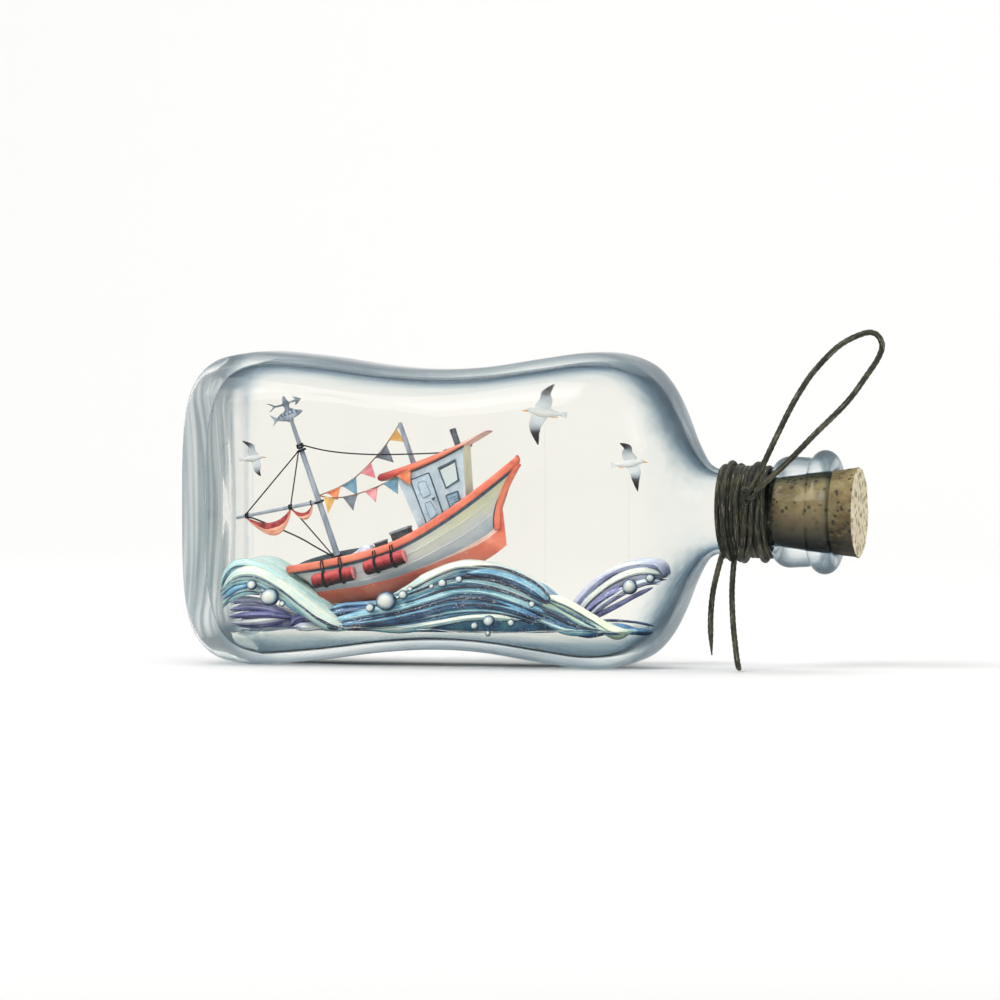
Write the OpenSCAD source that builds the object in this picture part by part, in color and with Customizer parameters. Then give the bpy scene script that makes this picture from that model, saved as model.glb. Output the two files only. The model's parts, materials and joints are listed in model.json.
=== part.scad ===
// Ship in a bottle: a flask-shaped glass bottle with a cork, a fishing boat on
// sculpted waves inside, and a cord wound around the neck.
// The bottle's axis runs along X with the neck towards +X. Z is up, and the
// origin is on the resting surface, under the middle of the bottle.

/* [Bottle] */
// Half of the length from the base to the cork's outer end
half_length = 101; // [100:1:102]
// Height of the bottle's axis above the resting surface
axis_z = 47; // [46.5:0.5:47]
// Largest half height of the glass body, a little more than axis_z
body_half_height = 47.3; // [47.2:0.1:47.6]
// Largest half depth of the glass body
body_half_depth = 30; // [29:0.5:31]
// Thickness of the glass walls
wall = 3.5; // [3:0.25:4]
// Outer radius of the neck
neck_radius = 12; // [11.8:0.1:12]
// Radius of the bore through the neck
neck_bore = 10.2; // [10.1:0.05:10.3]
// Outer radius of the bulging collar behind the lip
collar_radius = 16.6; // [16:0.2:17]
// Radius of the round bead that forms the lip
lip_bead = 3.75; // [3.5:0.05:3.9]
// Radius of the lip bead's centre circle
lip_circle = 14.75; // [14.5:0.05:15]

/* [Cork] */
// Radius of the cork's outer end
cork_radius = 13.6; // [13.4:0.1:13.8]
// Length of the cork
cork_length = 25; // [22:1:26]
// Loss of radius per millimetre towards the inner end
cork_taper = 0.14; // [0.13:0.005:0.145]
// Radial clearance between the cork and the mouth
cork_clearance = 0.05; // [0.02:0.01:0.08]

/* [Cord] */
// Diameter of the waxed cord
cord_d = 1.8; // [1.6:0.1:1.8]
// Number of turns around the neck
cord_turns = 11; // [10:1:12]

/* [Boat] */
// Upward pitch of the boat's bow
pitch = 19.5; // [18:0.5:20]
// Largest half breadth of the hull
half_beam = 8.5; // [8:0.1:8.6]
// Height of the gunwale rail
rail_h = 2.2; // [2:0.1:2.4]
// Half width of the wheelhouse
house_half = 4.8; // [4.5:0.1:5]
// Thickness of the wheelhouse walls
house_wall = 0.8; // [0.6:0.1:0.9]
// Radius of the aft mast at its foot
mast_r = 1; // [0.9:0.05:1.05]
// Radius of the boom
boom_r = 0.6; // [0.5:0.05:0.65]
// Radius of the rigging lines
line_r = 0.22; // [0.2:0.01:0.25]
// Radius of the fenders
fender_r = 2.2; // [2:0.1:2.3]
// Radial clearance of the rope loops and the vane's sleeve
loop_gap = 0.08; // [0.06:0.01:0.09]

/* [Sea] */
// Level of the clear resin bed that carries the waves
bed_z = 11.5; // [11:0.25:12]
// Half depth of the widest wave
wave_half = 16; // [15:0.5:16]

/* [Hidden] */

// ---- shared geometry ----

// Points of a Catmull-Rom curve through P, with k steps between neighbours
function curve_at(P, i, t) =
    let (n = len(P) - 1)
    let (a = P[max(i - 1, 0)], b = P[i], c = P[i + 1], d = P[min(i + 2, n)])
    0.5 * (2 * b + (c - a) * t + (2 * a - 5 * b + 4 * c - d) * t * t
        + (3 * b - a - 3 * c + d) * t * t * t);
function smooth(P, k) = concat(
    [for (i = [0:len(P) - 2], j = [0:k - 1]) curve_at(P, i, j / k)],
    [P[len(P) - 1]]
);
function unit(v) = v / norm(v);
function flat_list(L) = [for (a = L, b = a) b];
function spow(v, e) = sign(v) * pow(abs(v), e);

// A superellipse across the bottle's axis: half height h, half depth d
function section(st, m) = [
    for (j = [0:m - 1])
    let (a = 360 * (j + 0.5) / m)
    [st[0], st[2] * spow(cos(a), 2 / st[3]), axis_z + st[1] * spow(sin(a), 2 / st[3])]
];

// A closed skin over rings that all have the same number of points. Each end is
// closed by strips between mirrored points, which stay flat on a raked end.
module loft(rings) {
    m = len(rings[0]);
    n = len(rings);
    sides = [
        for (i = [0:n - 2], j = [0:m - 1])
        let (a = i * m + j, b = i * m + (j + 1) % m)
        each [[a, a + m, b + m], [a, b + m, b]]
    ];
    strips = [for (j = [0:m / 2 - 2]) [j, j + 1, m - 2 - j, m - 1 - j]];
    last = (n - 1) * m;
    ends = concat(strips, [for (s = strips) [for (k = [3:-1:0]) s[k] + last]]);
    polyhedron(points = flat_list(rings), faces = concat(sides, ends));
}

// A ring of sections that closes on itself
module closed_loft(rings) {
    m = len(rings[0]);
    n = len(rings);
    faces = [
        for (i = [0:n - 1], j = [0:m - 1])
        let (k = (i + 1) % n)
        let (a = i * m + j, b = i * m + (j + 1) % m)
        let (c = k * m + (j + 1) % m, d = k * m + j)
        each [[a, d, c], [a, c, b]]
    ];
    polyhedron(points = flat_list(rings), faces = faces);
}

// A round tube along a route; side is a direction that the route never takes
module tube(route, r, sides = 8, side = [0, 1, 0]) {
    n = len(route) - 1;
    rings = [
        for (i = [0:n])
        let (t = unit(route[min(i + 1, n)] - route[max(i - 1, 0)]))
        let (p = unit(cross(side, t)))
        let (q = cross(t, p))
        [for (j = [0:sides - 1])
            let (a = 360 * j / sides)
            route[i] + r * (cos(a) * p + sin(a) * q)]
    ];
    loft(rings);
}

// A flat plate from an outline in X and Z, between two depths
module plate(outline, y0, y1) {
    translate([0, y1, 0])
        rotate([90, 0, 0])
            linear_extrude(y1 - y0)
                polygon(outline);
}

// A solid of revolution about the bottle's axis, from [radius, x] points
module turned(outline, fn = 96) {
    translate([0, 0, axis_z])
        rotate([0, 90, 0])
            rotate_extrude($fn = fn)
                polygon(outline);
}

// ---- bottle ----

// Outer stations: x, share of half height, share of half depth, squareness
shell_stations = [
    [-98.8, 0.30, 0.34, 2.6], [-100, 0.54, 0.62, 3], [-101, 0.70, 0.82, 3.4],
    [-100.2, 0.805, 0.90, 3.7], [-97.5, 0.895, 0.955, 3.9], [-93, 0.96, 0.985, 4],
    [-86, 0.993, 0.997, 4], [-79, 1, 1, 4], [-62, 0.968, 0.987, 4],
    [-44, 0.914, 0.973, 4], [-28, 0.893, 0.967, 4], [-12, 0.91, 0.973, 4],
    [6, 0.965, 0.987, 4], [19, 1, 1, 4], [28, 0.99, 0.993, 4],
    [36, 0.928, 0.953, 3.8], [41.5, 0.818, 0.87, 3.4], [46, 0.66, 0.74, 3],
    [50, 0.475, 0.59, 2.6], [54, 0.325, 0.47, 2.2], [57.2, 0.261, 0.411, 2],
    [60, 0.24, 0.378, 2]
];
// The same for the air space inside, before the walls' thickness comes off
air_stations = [
    [-94.4, 0.32, 0.36, 2.6], [-95.2, 0.62, 0.71, 3], [-94.3, 0.775, 0.865, 3.4],
    [-91.6, 0.89, 0.95, 3.7], [-87.5, 0.96, 0.985, 3.9], [-82, 0.995, 0.997, 4],
    [-78, 1, 1, 4], [-62, 0.968, 0.987, 4], [-44, 0.914, 0.973, 4],
    [-28, 0.893, 0.967, 4], [-12, 0.91, 0.973, 4], [6, 0.965, 0.987, 4],
    [18, 1, 1, 4], [27, 0.985, 0.99, 4], [33.6, 0.925, 0.95, 3.8],
    [38.7, 0.818, 0.87, 3.4], [43.2, 0.66, 0.74, 3], [47.6, 0.475, 0.60, 2.6],
    [52, 0.335, 0.485, 2.2], [56, 0.26, 0.424, 2], [60, 0.23, 0.37, 2]
];
ring_points = 28;
neck_start = 52;
bore_start = 54;
collar_x = 75.2;
lip_x = 90.4;
cork_in_x = half_length - cork_length;

function sized(S, h, d) = [for (s = S) [s[0], s[1] * h, s[2] * d, s[3]]];
function rings_of(S, k) = [for (s = smooth(S, k)) section(s, ring_points)];
function cork_r(x) = cork_radius - cork_taper * (half_length - x);

shell = sized(shell_stations, body_half_height, body_half_depth);
air = sized(air_stations, body_half_height - wall, body_half_depth - wall);

function neck_outline() = concat(
    [[0, neck_start], [neck_radius, neck_start], [neck_radius, collar_x]],
    [for (a = [-80:20:0])
        [collar_radius - 4 + 4 * cos(a), collar_x + 4.8 + 4.8 * sin(a)]],
    [[collar_radius - 0.4, lip_x - 4]],
    [for (a = [-60:20:120])
        [lip_circle + lip_bead * cos(a), lip_x + lip_bead * sin(a)]],
    [[0, lip_x + lip_bead * sin(120)]]
);
mouth_x = half_length - (cork_radius + cork_clearance - neck_bore) / cork_taper;
function bore_outline() = [
    [0, bore_start], [neck_bore, bore_start], [neck_bore, mouth_x],
    [cork_radius + cork_clearance, half_length], [0, half_length]
];

module bottle() {
    color([0.72, 0.82, 0.88, 0.35])
        difference() {
            union() {
                loft(rings_of(shell, 2));
                turned(neck_outline());
            }
            loft(rings_of(air, 2));
            turned(bore_outline());
            translate([-110, -40, -10])
                cube([220, 80, 10]);
        }
}

module cork() {
    edge = 0.5;
    color("tan")
        turned([
            [0, cork_in_x], [cork_r(cork_in_x) - edge, cork_in_x],
            [cork_r(cork_in_x + edge), cork_in_x + edge],
            [cork_r(half_length - edge), half_length - edge],
            [cork_radius - edge, half_length], [0, half_length]
        ]);
}

// ---- cord ----

wind_x0 = 58;
wind_x1 = 74.9;
wind_in = neck_radius + 0.02;
wind_pitch = (wind_x1 - wind_x0) / cord_turns;

module neck_winding() {
    rows = [
        for (i = [0:cord_turns - 1], a = [-54:27:54])
        [wind_in + cord_d / 2 * (1 + cos(a)),
            wind_x0 + wind_pitch * (i + 0.5) + cord_d / 2 * sin(a)]
    ];
    color("darkolivegreen")
        turned(concat([[wind_in, wind_x0]], rows, [[wind_in, wind_x1]]));
}

knot_pos = [70, -14.4, 52];
module cord_knot() {
    color("darkolivegreen")
        translate(knot_pos)
            rotate([0, 35, 0])
                rotate_extrude($fn = 48)
                    polygon([[0, -2.2], [1.4, -1.9], [2.2, -0.9], [2.3, 0.2], [1.8, 0.9],
                        [1.8, 1.7], [1.2, 2.6], [0, 2.9]]);
}

loop_route = [
    [70.4, -15, 53], [73.7, -14.8, 59.4], [77.8, -13.5, 68.5], [82.1, -12, 77.7],
    [85.6, -11, 84], [89.3, -10, 89.4], [96.3, -8.5, 96.6], [103.4, -7, 100.2],
    [107, -6.6, 99.9], [108.7, -6.5, 96.8], [107.6, -6.6, 93], [104.3, -7, 87.9],
    [98.4, -8, 79.8], [89.3, -10, 70.5], [82.4, -12.6, 63], [77, -15.2, 57.6],
    [72.4, -16, 53.6]
];
short_route = [
    [60, -4, 34.4], [58.6, -4.5, 29], [57.5, -5, 23.7], [56.9, -5.3, 18],
    [56.8, -5.5, 12], [57.2, -5.6, 4.4]
];
long_route = [
    [63.8, -4, 34.4], [63.4, -5, 28], [63.4, -6, 22], [64, -7.2, 14],
    [65, -8.4, 7], [65.9, -10, 2.8], [66.8, -12.2, 1.2], [67.5, -14.2, 0.95],
    [68.2, -16.4, 0.95]
];

module hang_loop() {
    color("darkolivegreen") tube(smooth(loop_route, 2), cord_d / 2);
}
module cord_tail_short() {
    color("darkolivegreen") tube(smooth(short_route, 2), cord_d / 2);
}
module cord_tail_long() {
    color("darkolivegreen") tube(smooth(long_route, 2), cord_d / 2, 8, [1, 0, 0]);
}

// ---- sea ----

bed_gap = 0.1;
bed_stations = [for (i = [0:22]) -86 + 5.4 * i];
function air_at(x, i = 0) =
    i > len(air) - 3 || air[i + 1][0] >= x && air[i][0] < x
    ? air[i] + (air[i + 1] - air[i]) * (x - air[i][0]) / (air[i + 1][0] - air[i][0])
    : air_at(x, i + 1);
function bed_top(x) = bed_z + 0.8 * sin(5 * x) + 1.2 * exp(-pow((x + 28) / 16, 2));
bed_points = 12;
function bed_ring(x) =
    let (s = air_at(x))
    let (h = s[1] - bed_gap, d = s[2] - bed_gap, drop = axis_z - bed_top(x))
    let (w = d * pow(1 - pow(drop / h, 4), 0.25))
    [for (j = [0:bed_points - 1])
        let (y = -w * cos(180 * j / (bed_points - 1)))
        [x, y, min(axis_z - h * pow(1 - pow(abs(y) / d, 4), 0.25), bed_top(x))]];

module sea_bed() {
    color([0.85, 0.9, 0.9])
        loft([for (x = bed_stations) bed_ring(x)]);
}

curl_top = [
    [-93, 22], [-92, 27], [-88.5, 30.6], [-83, 30.4], [-77, 27.3], [-70, 22.8],
    [-62, 16.8], [-53, 11]
];
curl_under = [
    [-56, 10.4], [-63, 13.4], [-71, 18], [-78, 23], [-84, 25.6], [-89, 24.6], [-91, 20]
];
low_top = [[-91, 13], [-86, 17.8], [-80, 19.6], [-74, 18], [-68, 12]];
centre_top = [
    [-62, 12], [-58, 17.4], [-50, 18.6], [-43, 20.4], [-35, 22.6], [-27, 26.4],
    [-18.7, 31], [-11, 31], [-4, 29.4], [3, 26.6], [8.6, 23], [9.6, 20.2]
];
centre_under = [[6, 18.6], [0, 17.6], [-6, 16.4], [-12, 13.6], [-16, 11]];
keel_top = [
    [-60, 11], [-58, 17.5], [-50, 19.8], [-42, 21.6], [-34, 24], [-26, 27.4],
    [-18, 30.4], [-12, 30.8], [-4, 28.6], [3, 26], [8.4, 22.4], [9.4, 20.2]
];
ribbon_top = [[7, 22.6], [14, 20.6], [22, 16.6], [29, 11.6], [34, 9]];
ribbon_under = [[30, 8.6], [26, 10.6], [20, 14], [12, 17.8], [7, 19.4]];
back_top = [
    [8, 11], [13, 18.4], [19, 25], [26, 29.4], [33, 31.2], [39, 30.6], [41, 27]
];
back_under = [[38, 22], [32, 19], [26, 15], [20, 11]];

module wave_left_curl() {
    color("mediumturquoise")
        union() {
            plate(concat(smooth(curl_top, 3), smooth(curl_under, 3)), -wave_half, -10);
            plate(concat(smooth(curl_top, 3), [[-92, 11]]), -3, 13);
            plate(smooth([for (i = [0:3]) curl_top[i]], 3), -10.2, -2.8);
        }
}
module wave_left_low() {
    color("slateblue") plate(smooth(low_top, 3), -9.6, -3.2);
}
module wave_centre() {
    color("steelblue")
        union() {
            plate(concat(smooth(centre_top, 3), smooth(centre_under, 3)), -wave_half, -9);
            plate(concat(smooth(keel_top, 3), smooth(centre_under, 3)), -9.01, 12);
        }
}
module wave_right_ribbon() {
    color("mediumaquamarine")
        plate(concat(smooth(ribbon_top, 3), smooth(ribbon_under, 3)), -15, -6);
}
module wave_right_back() {
    color("slateblue")
        plate(concat(smooth(back_top, 3), smooth(back_under, 3)), 3, 14);
}

// Bubbles: x, z and radius, half sunk in the front of a wave
bubble_y = -wave_half;
bubbles_l = [[-82, 24.2, 1.5], [-76.4, 20.6, 2.7]];
bubbles_c = [
    [-40, 19.8, 3], [-45, 17.8, 1.4], [-34.8, 21.8, 1.4], [-32.6, 23.6, 0.8],
    [-22.6, 25.4, 1.3], [-17.6, 26.6, 1.1], [-26, 24.4, 0.7], [-8.4, 16.9, 1.9],
    [-12.8, 15, 1.2], [-1.6, 18.2, 1.2], [5.6, 20.6, 1.1]
];
bubbles_r = [[31, 23.6, 2.4], [37, 26, 1.4]];
module bubble_set(list, y) {
    for (b = list)
        translate([b[0], y, b[1]])
            sphere(b[2], $fn = 32);
}
module bubbles_left() {
    color([0.9, 0.95, 1]) bubble_set(bubbles_l, bubble_y);
}
module bubbles_centre() {
    color([0.9, 0.95, 1]) bubble_set(bubbles_c, bubble_y);
}
module bubbles_right() {
    color([0.9, 0.95, 1]) bubble_set(bubbles_r, 3);
}

// ---- boat, in its own frame: x forward, z up, before it is pitched ----

boat_pos = [-64.1, 0, 22.8];
module afloat() {
    translate(boat_pos)
        rotate([0, -pitch, 0])
            children();
}

stern_x = -6.3;
bow_x = 69.1;
low_x = 25;
function sheer(x) = 4.5 + (x < low_x
    ? 3.8 * pow((low_x - x) / (low_x - stern_x), 1.6)
    : 11.9 * pow((x - low_x) / (bow_x - low_x), 1.6));
function keel(x) = x < 15.5
    ? -9 + 4.8 * pow((15.5 - x) / 17, 1.5)
    : x > 45 ? -9 + 2.7 * pow((x - 45) / 13.3, 2) : -9;
function bow_at(v) = v < 0.217
    ? 57.1 + 1.2 * (0.217 - v) / 0.217
    : 57.1 + (bow_x - 57.1) * pow((v - 0.217) / 0.783, 1.7);
function stern_at(v) = -1.5 + (stern_x + 1.5) * pow(v, 3.5);
function breadth(u) = u < 0.4
    ? 5.6 + (half_beam - 5.6) * sin(225 * u)
    : half_beam * pow(max(1 - pow((u - 0.4) / 0.6, 2.4), 0.004), 0.85);
function fullness(u) = 0.38 + 0.5 * pow(u, 3) + 0.15 * pow(1 - u, 3);
function hull_x(u, v) = stern_at(v) + (bow_at(v) - stern_at(v)) * u;
function hull_top(u) = sheer(hull_x(u, 1)) - rail_h / 2;
function hull_z(u, v) =
    keel(hull_x(u, 0)) + (hull_top(u) - keel(hull_x(u, 0))) * v;
function hull_y(u, v) = 0.3 + (breadth(u) - 0.25) * pow(v, fullness(u));
hull_steps = 18;
skin_steps = 6;

module hull() {
    color("gainsboro")
        afloat()
            loft([for (i = [0:hull_steps])
                let (u = i / hull_steps)
                concat(
                    [for (j = [skin_steps:-1:0])
                        let (v = j / skin_steps)
                        [hull_x(u, v), -hull_y(u, v), hull_z(u, v)]],
                    [for (j = [0:skin_steps])
                        let (v = j / skin_steps)
                        [hull_x(u, v), hull_y(u, v), hull_z(u, v)]]
                )]);
}

deck_in = 1;
deck_t = 0.6;
deck_lift = 0.06;
function deck_z(x) = sheer(x) - rail_h / 2 + deck_t;
module deck() {
    color("slategray")
        afloat()
            loft([for (i = [0.4:1:hull_steps - 1.6])
                let (u = i / hull_steps, w = breadth(u) - deck_in)
                let (x = hull_x(u, 1), z = hull_top(u) + deck_lift)
                [[x, -w, z + deck_t], [x, -w, z], [x, w, z], [x, w, z + deck_t]]]);
}

// One section of the rail: outer foot, outer top, inner top, inner foot
function rail_section(u, side) =
    let (x = hull_x(u, 1), z = hull_top(u) + 0.01, w = breadth(u))
    [[x, side * (w + 0.5), z], [x, side * (w + 0.5), z + rail_h],
        [x, side * (w - 0.9), z + rail_h], [x, side * (w - 0.9), z]];
function rail_corner(side) =
    let (z = hull_top(0) + 0.01, w = breadth(0), out = stern_x - 0.5, in = stern_x + 0.9)
    [[out, side * (w + 0.5), z], [out, side * (w + 0.5), z + rail_h],
        [in, side * (w - 0.9), z + rail_h], [in, side * (w - 0.9), z]];
function rail_bow(out, in) =
    let (z = hull_top(1))
    [[out, 0, z], [out, 0, z + rail_h], [in, 0, z + rail_h], [in, 0, z]];
module gunwale_rail() {
    last = hull_steps - 1;
    color("salmon")
        afloat()
            closed_loft(concat(
                [rail_bow(bow_x + 0.9, 65.6)],
                [for (i = [last:-1:1]) rail_section(i / hull_steps, -1)],
                [rail_corner(-1), rail_corner(1)],
                [for (i = [1:last]) rail_section(i / hull_steps, 1)]
            ));
}
module stem_post() {
    rows = [for (j = [0:8]) 0.2 + 0.8 * j / 8];
    color("salmon")
        afloat()
            plate(concat(
                [for (v = rows) [bow_at(v) + 0.7, hull_z(1, v)]],
                [for (j = [8:-1:0]) [bow_at(rows[j]) - 0.9, hull_z(1, rows[j])]]
            ), -0.8, 0.8);
}

// Wheelhouse
house_rear = [35.6, 33.9];
house_front = [51.8, 56.6];
roof_x0 = 28.5;
roof_x1 = 64.4;
function roof_under(x) = 23.9 + 3.5 * pow((x - 35) / 29, 2);
function roof_top(x) =
    roof_under(x) + 0.25 + 1.9 * (1 - pow((x - roof_x0) / (roof_x1 - roof_x0), 2));
roof_half = 6;
foot_sink = 0.1;

function house_outline(in) = concat(
    [for (i = [0:4])
        let (x = house_rear[0] + in + (house_front[0] - house_rear[0] - 2 * in) * i / 4)
        [x, deck_z(x) - foot_sink - in]],
    [for (i = [4:-1:0])
        let (x = house_rear[1] + in + (house_front[1] - house_rear[1] - 2 * in) * i / 4)
        [x, roof_under(x) + foot_sink + in]]
);
side_window = [[47.4, 21.9], [52.9, 22.6], [51.8, 16.8], [47.6, 15.8]];
far_window_aft = 2.4;
// The window on one side: the far one sits a little further aft
function window_on(side) =
    side < 0 ? side_window : [for (p = side_window) p - [far_window_aft, 0]];
function grown(P, by) =
    let (c = (P[0] + P[1] + P[2] + P[3]) / 4)
    [for (p = P) p + by * unit(p - c)];

module wheelhouse() {
    color("lightsteelblue")
        afloat()
            difference() {
                plate(house_outline(0), -house_half, house_half);
                plate(house_outline(house_wall),
                    -house_half + house_wall, house_half - house_wall);
                plate(window_on(-1), -house_half - 1, 0);
                plate(window_on(1), 0, house_half + 1);
            }
}
module wheelhouse_roof() {
    steps = 12;
    xs = [for (i = [0:steps]) roof_x0 + (roof_x1 - roof_x0) * i / steps];
    color("salmon")
        afloat()
            plate(concat(
                [for (i = [0:steps]) [xs[i], roof_under(xs[i])]],
                [for (i = [steps:-1:0]) [xs[i], roof_top(xs[i])]]
            ), -roof_half, roof_half);
}

door_leaf = [[38.1, 21.3], [43.9, 21.5], [43.9, 7.8], [38.5, 6.4]];
wall_y = -house_half;
module door() {
    color("lightsteelblue")
        afloat()
            union() {
                plate(door_leaf, wall_y - 0.4, wall_y);
                plate([[39.2, 20.2], [42.6, 20.4], [42.7, 15.6], [39.4, 15.2]],
                    wall_y - 0.6, wall_y - 0.3);
                plate([[39.5, 13.2], [41.6, 13.4], [42.8, 9], [39.6, 8.2]],
                    wall_y - 0.6, wall_y - 0.3);
            }
}
module door_knob() {
    color("dimgray")
        afloat()
            translate([42.9, wall_y - 0.4, 13.8])
                rotate([90, 0, 0])
                    union() {
                        cylinder(h = 0.5, r = 0.22, $fn = 24);
                        translate([0, 0, 0.7])
                            sphere(0.45, $fn = 24);
                    }
}
module window_frames() {
    color("darkslategray")
        afloat()
            for (s = [-1, 1])
                let (y = s * (house_half + 0.2))
                difference() {
                    plate(grown(window_on(s), 0.5), y - 0.2, y + 0.2);
                    plate(grown(window_on(s), -0.1), y - 1, y + 1);
                }
}
module window_panes() {
    color([0.8, 0.9, 0.95, 0.4])
        afloat()
            for (s = [-1, 1])
                plate(grown(window_on(s), -0.06),
                    s * (house_half - 0.4) - 0.12, s * (house_half - 0.4) + 0.12);
}
module vent_hatch() {
    color("cadetblue")
        afloat()
            union() {
                plate([[47, 13.3], [50.4, 13.3], [50, 9.9], [46.9, 9]],
                    wall_y - 0.35, wall_y);
                for (i = [0:3])
                    translate([47.4, wall_y - 0.6, 10 + 0.8 * i])
                        cube([2.6, 0.35, 0.4]);
            }
}
module funnel() {
    color("dimgray")
        afloat()
            translate([54.1, 0, roof_top(54.1) - 0.3])
                difference() {
                    cylinder(h = 5.8, r = 0.95, $fn = 32);
                    translate([0, 0, 2])
                        cylinder(h = 5, r = 0.65, $fn = 32);
                }
}
module roof_mast() {
    color("slategray")
        afloat()
            translate([39.2, 0, roof_top(39.2) - 0.3])
                cylinder(h = 13.6, r1 = 0.8, r2 = 0.7, $fn = 32);
}

// Aft mast, its pole and the vane
mast_x = 7.5;
mast_foot = 5.2;
mast_head = 43.6;
pole_top = 50.6;
function mast_radius(z) =
    mast_r - 0.25 * (z - mast_foot) / (mast_head - mast_foot);
module on_mast(z) {
    afloat()
        translate([mast_x, 0, z])
            children();
}
module aft_mast() {
    color("slategray")
        on_mast(mast_foot)
            cylinder(h = mast_head - mast_foot, r1 = mast_r, r2 = mast_r - 0.25, $fn = 32);
}
spindle_r = 0.42;
module mast_pole() {
    color("slategray")
        on_mast(mast_head)
            union() {
                cylinder(h = pole_top - mast_head, r1 = 0.7, r2 = 0.6, $fn = 32);
                cylinder(h = 14.2, r = spindle_r, $fn = 32);
                translate([0, 0, 14.5])
                    sphere(0.6, $fn = 32);
            }
}
sleeve_r = 0.78;
module vane_sleeve() {
    color("slategray")
        on_mast(pole_top + 0.06)
            difference() {
                cylinder(h = 6.9, r = sleeve_r, $fn = 32);
                translate([0, 0, -1])
                    cylinder(h = 9, r = spindle_r + loop_gap - 0.02, $fn = 32);
            }
}
module vane_arrow() {
    color("lightslategray")
        on_mast(56.2)
            difference() {
                union() {
                    translate([-4.6, 0, 0.3])
                        rotate([0, 92, 0])
                            cylinder(h = 8, r = 0.32, $fn = 24);
                    plate([[2.6, 1.4], [5, -0.1], [2.6, -1.4], [3.2, 0]], -0.3, 0.3);
                    plate([[-5.4, 1.6], [-3.8, 0.3], [-5.4, -1], [-4.7, 0.3]],
                        -0.3, 0.3);
                    translate([0, 0, -0.7])
                        cylinder(h = 1.4, r = 1.15, $fn = 32);
                }
                translate([0, 0, -3])
                    cylinder(h = 6, r = sleeve_r + 0.005, $fn = 32);
            }
}
fish_half = [
    [0, -4.1], [0.5, -3.4], [1.1, -2.2], [1.4, -0.6], [1.35, 1], [1, 2.6],
    [0.55, 3.8], [0, 4.4]
];
module vane_fish() {
    color("silver")
        on_mast(52.6)
            difference() {
                union() {
                    rotate([0, 90, 0])
                        rotate_extrude($fn = 32)
                            polygon(fish_half);
                    plate([[-3.4, 0.3], [-5.8, 1.8], [-5.2, 0], [-5.8, -1.6], [-3.4, -0.3]],
                        -0.3, 0.3);
                }
                translate([0, 0, -3])
                    cylinder(h = 6, r = sleeve_r + 0.005, $fn = 32);
            }
}

// Boom, its sails and its lines, which swing together about the mast
boom_in = [6.2, 0, 25.2];
boom_out = [-18.8, 0, 28.8];
function along_boom(x) =
    boom_in + (boom_out - boom_in) * (boom_in[0] - x) / (boom_in[0] - boom_out[0]);
module boom() {
    run = boom_out - boom_in;
    color("slategray")
        afloat()
            translate(boom_in)
                rotate([0, -90 + atan2(run[2], -run[0]), 0])
                    cylinder(h = norm(run), r1 = boom_r, r2 = boom_r - 0.1, $fn = 32);
}
large_top = [[-15.7, 27.7], [-12.6, 25.2], [-9, 24.2], [-5.2, 24.4], [-1.9, 25.6]];
large_low = [[-4.4, 22.8], [-8, 20.9], [-11.6, 20.8], [-14.4, 23.6]];
small_top = [[-1.5, 25.6], [0.6, 23.6], [3, 22.8], [5.4, 24.4]];
small_low = [[4.4, 21.8], [2.2, 20.6], [0, 21.8]];
module sail_large() {
    color("indianred")
        afloat() plate(concat(smooth(large_top, 3), large_low), -0.9, 0.3);
}
module sail_small() {
    color("indianred")
        afloat() plate(concat(smooth(small_top, 3), small_low), -0.9, 0.3);
}
// A ring of cord about the mast or a spar
module ring(inner, r) {
    rotate_extrude($fn = 32)
        translate([inner + r, 0])
            circle(r, $fn = 16);
}
module masthead_lashing() {
    color("black")
        for (z = [42.3, 42.8, 43.3])
            on_mast(z)
                ring(mast_radius(z) - 0.04, 0.22);
}
module boom_lashings() {
    run = boom_out - boom_in;
    color("black")
        afloat()
            for (x = [-15.7, -15.1, -1.9, -1.3, 5])
                translate(along_boom(x))
                    rotate([0, -90 + atan2(run[2], -run[0]), 0])
                        ring(boom_r - 0.05, 0.24);
}
loop_levels = [7.6, 24.9, 41.4];
module mast_loops() {
    color("black")
        for (z = loop_levels)
            on_mast(z)
                ring(mast_radius(z - 0.4) + loop_gap, 0.36);
}
module line(route, y_ref = [0, 1, 0]) {
    afloat() tube(route, line_r, 6, y_ref);
}
module topping_lift_outer() {
    color("black") line([[6.2, 0, 41.3], [-4.6, 0, 35.2], [-15.4, 0, 28.9]]);
}
module topping_lift_inner() {
    color("black") line([[6.4, 0, 41.2], [2.4, 0, 33.8], [-1.6, 0, 27]]);
}
module boom_line_outer() {
    color("black")
        line([[-15.4, 0.6, 27.8], [-13, 1.1, 26.2], [-3, 1, 17.5], [2, 0.5, 12.2], [6, 0, 8]]);
}
module boom_line_inner() {
    color("black") line([[-1.4, 0.6, 25.7], [-0.4, 0.8, 23.4], [3, 0.4, 15.6], [6.2, 0, 8.1]]);
}

// Lines that stay with the boat
stay_route = [
    [8.3, 0, 42.8], [14, -0.4, 39.2], [21, -0.9, 35.8], [30.2, -1.5, 32.2],
    [42.2, -2.4, 28.3], [50.4, -3, 25.9]
];
upper_route = [
    [8.2, 0, 26.7], [14.7, 0, 27], [20.6, 0, 28.2], [26.3, 0, 30.6],
    [32.8, 0, 34.2], [38.5, 0, 38.4]
];
lower_route = [
    [8.2, 0, 26.6], [12.6, -0.8, 24.4], [18.3, -2, 23.3], [24.5, -3.4, 23],
    [30.6, -4.8, 23.3], [35, -5.9, 24], [38.4, -6.1, 24.5]
];
module stay() {
    color("black") line(smooth(stay_route, 3));
}
module bunting_line_upper() {
    color("black") line(smooth(upper_route, 3));
}
module bunting_line_lower() {
    color("black") line(smooth(lower_route, 3));
}

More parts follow.
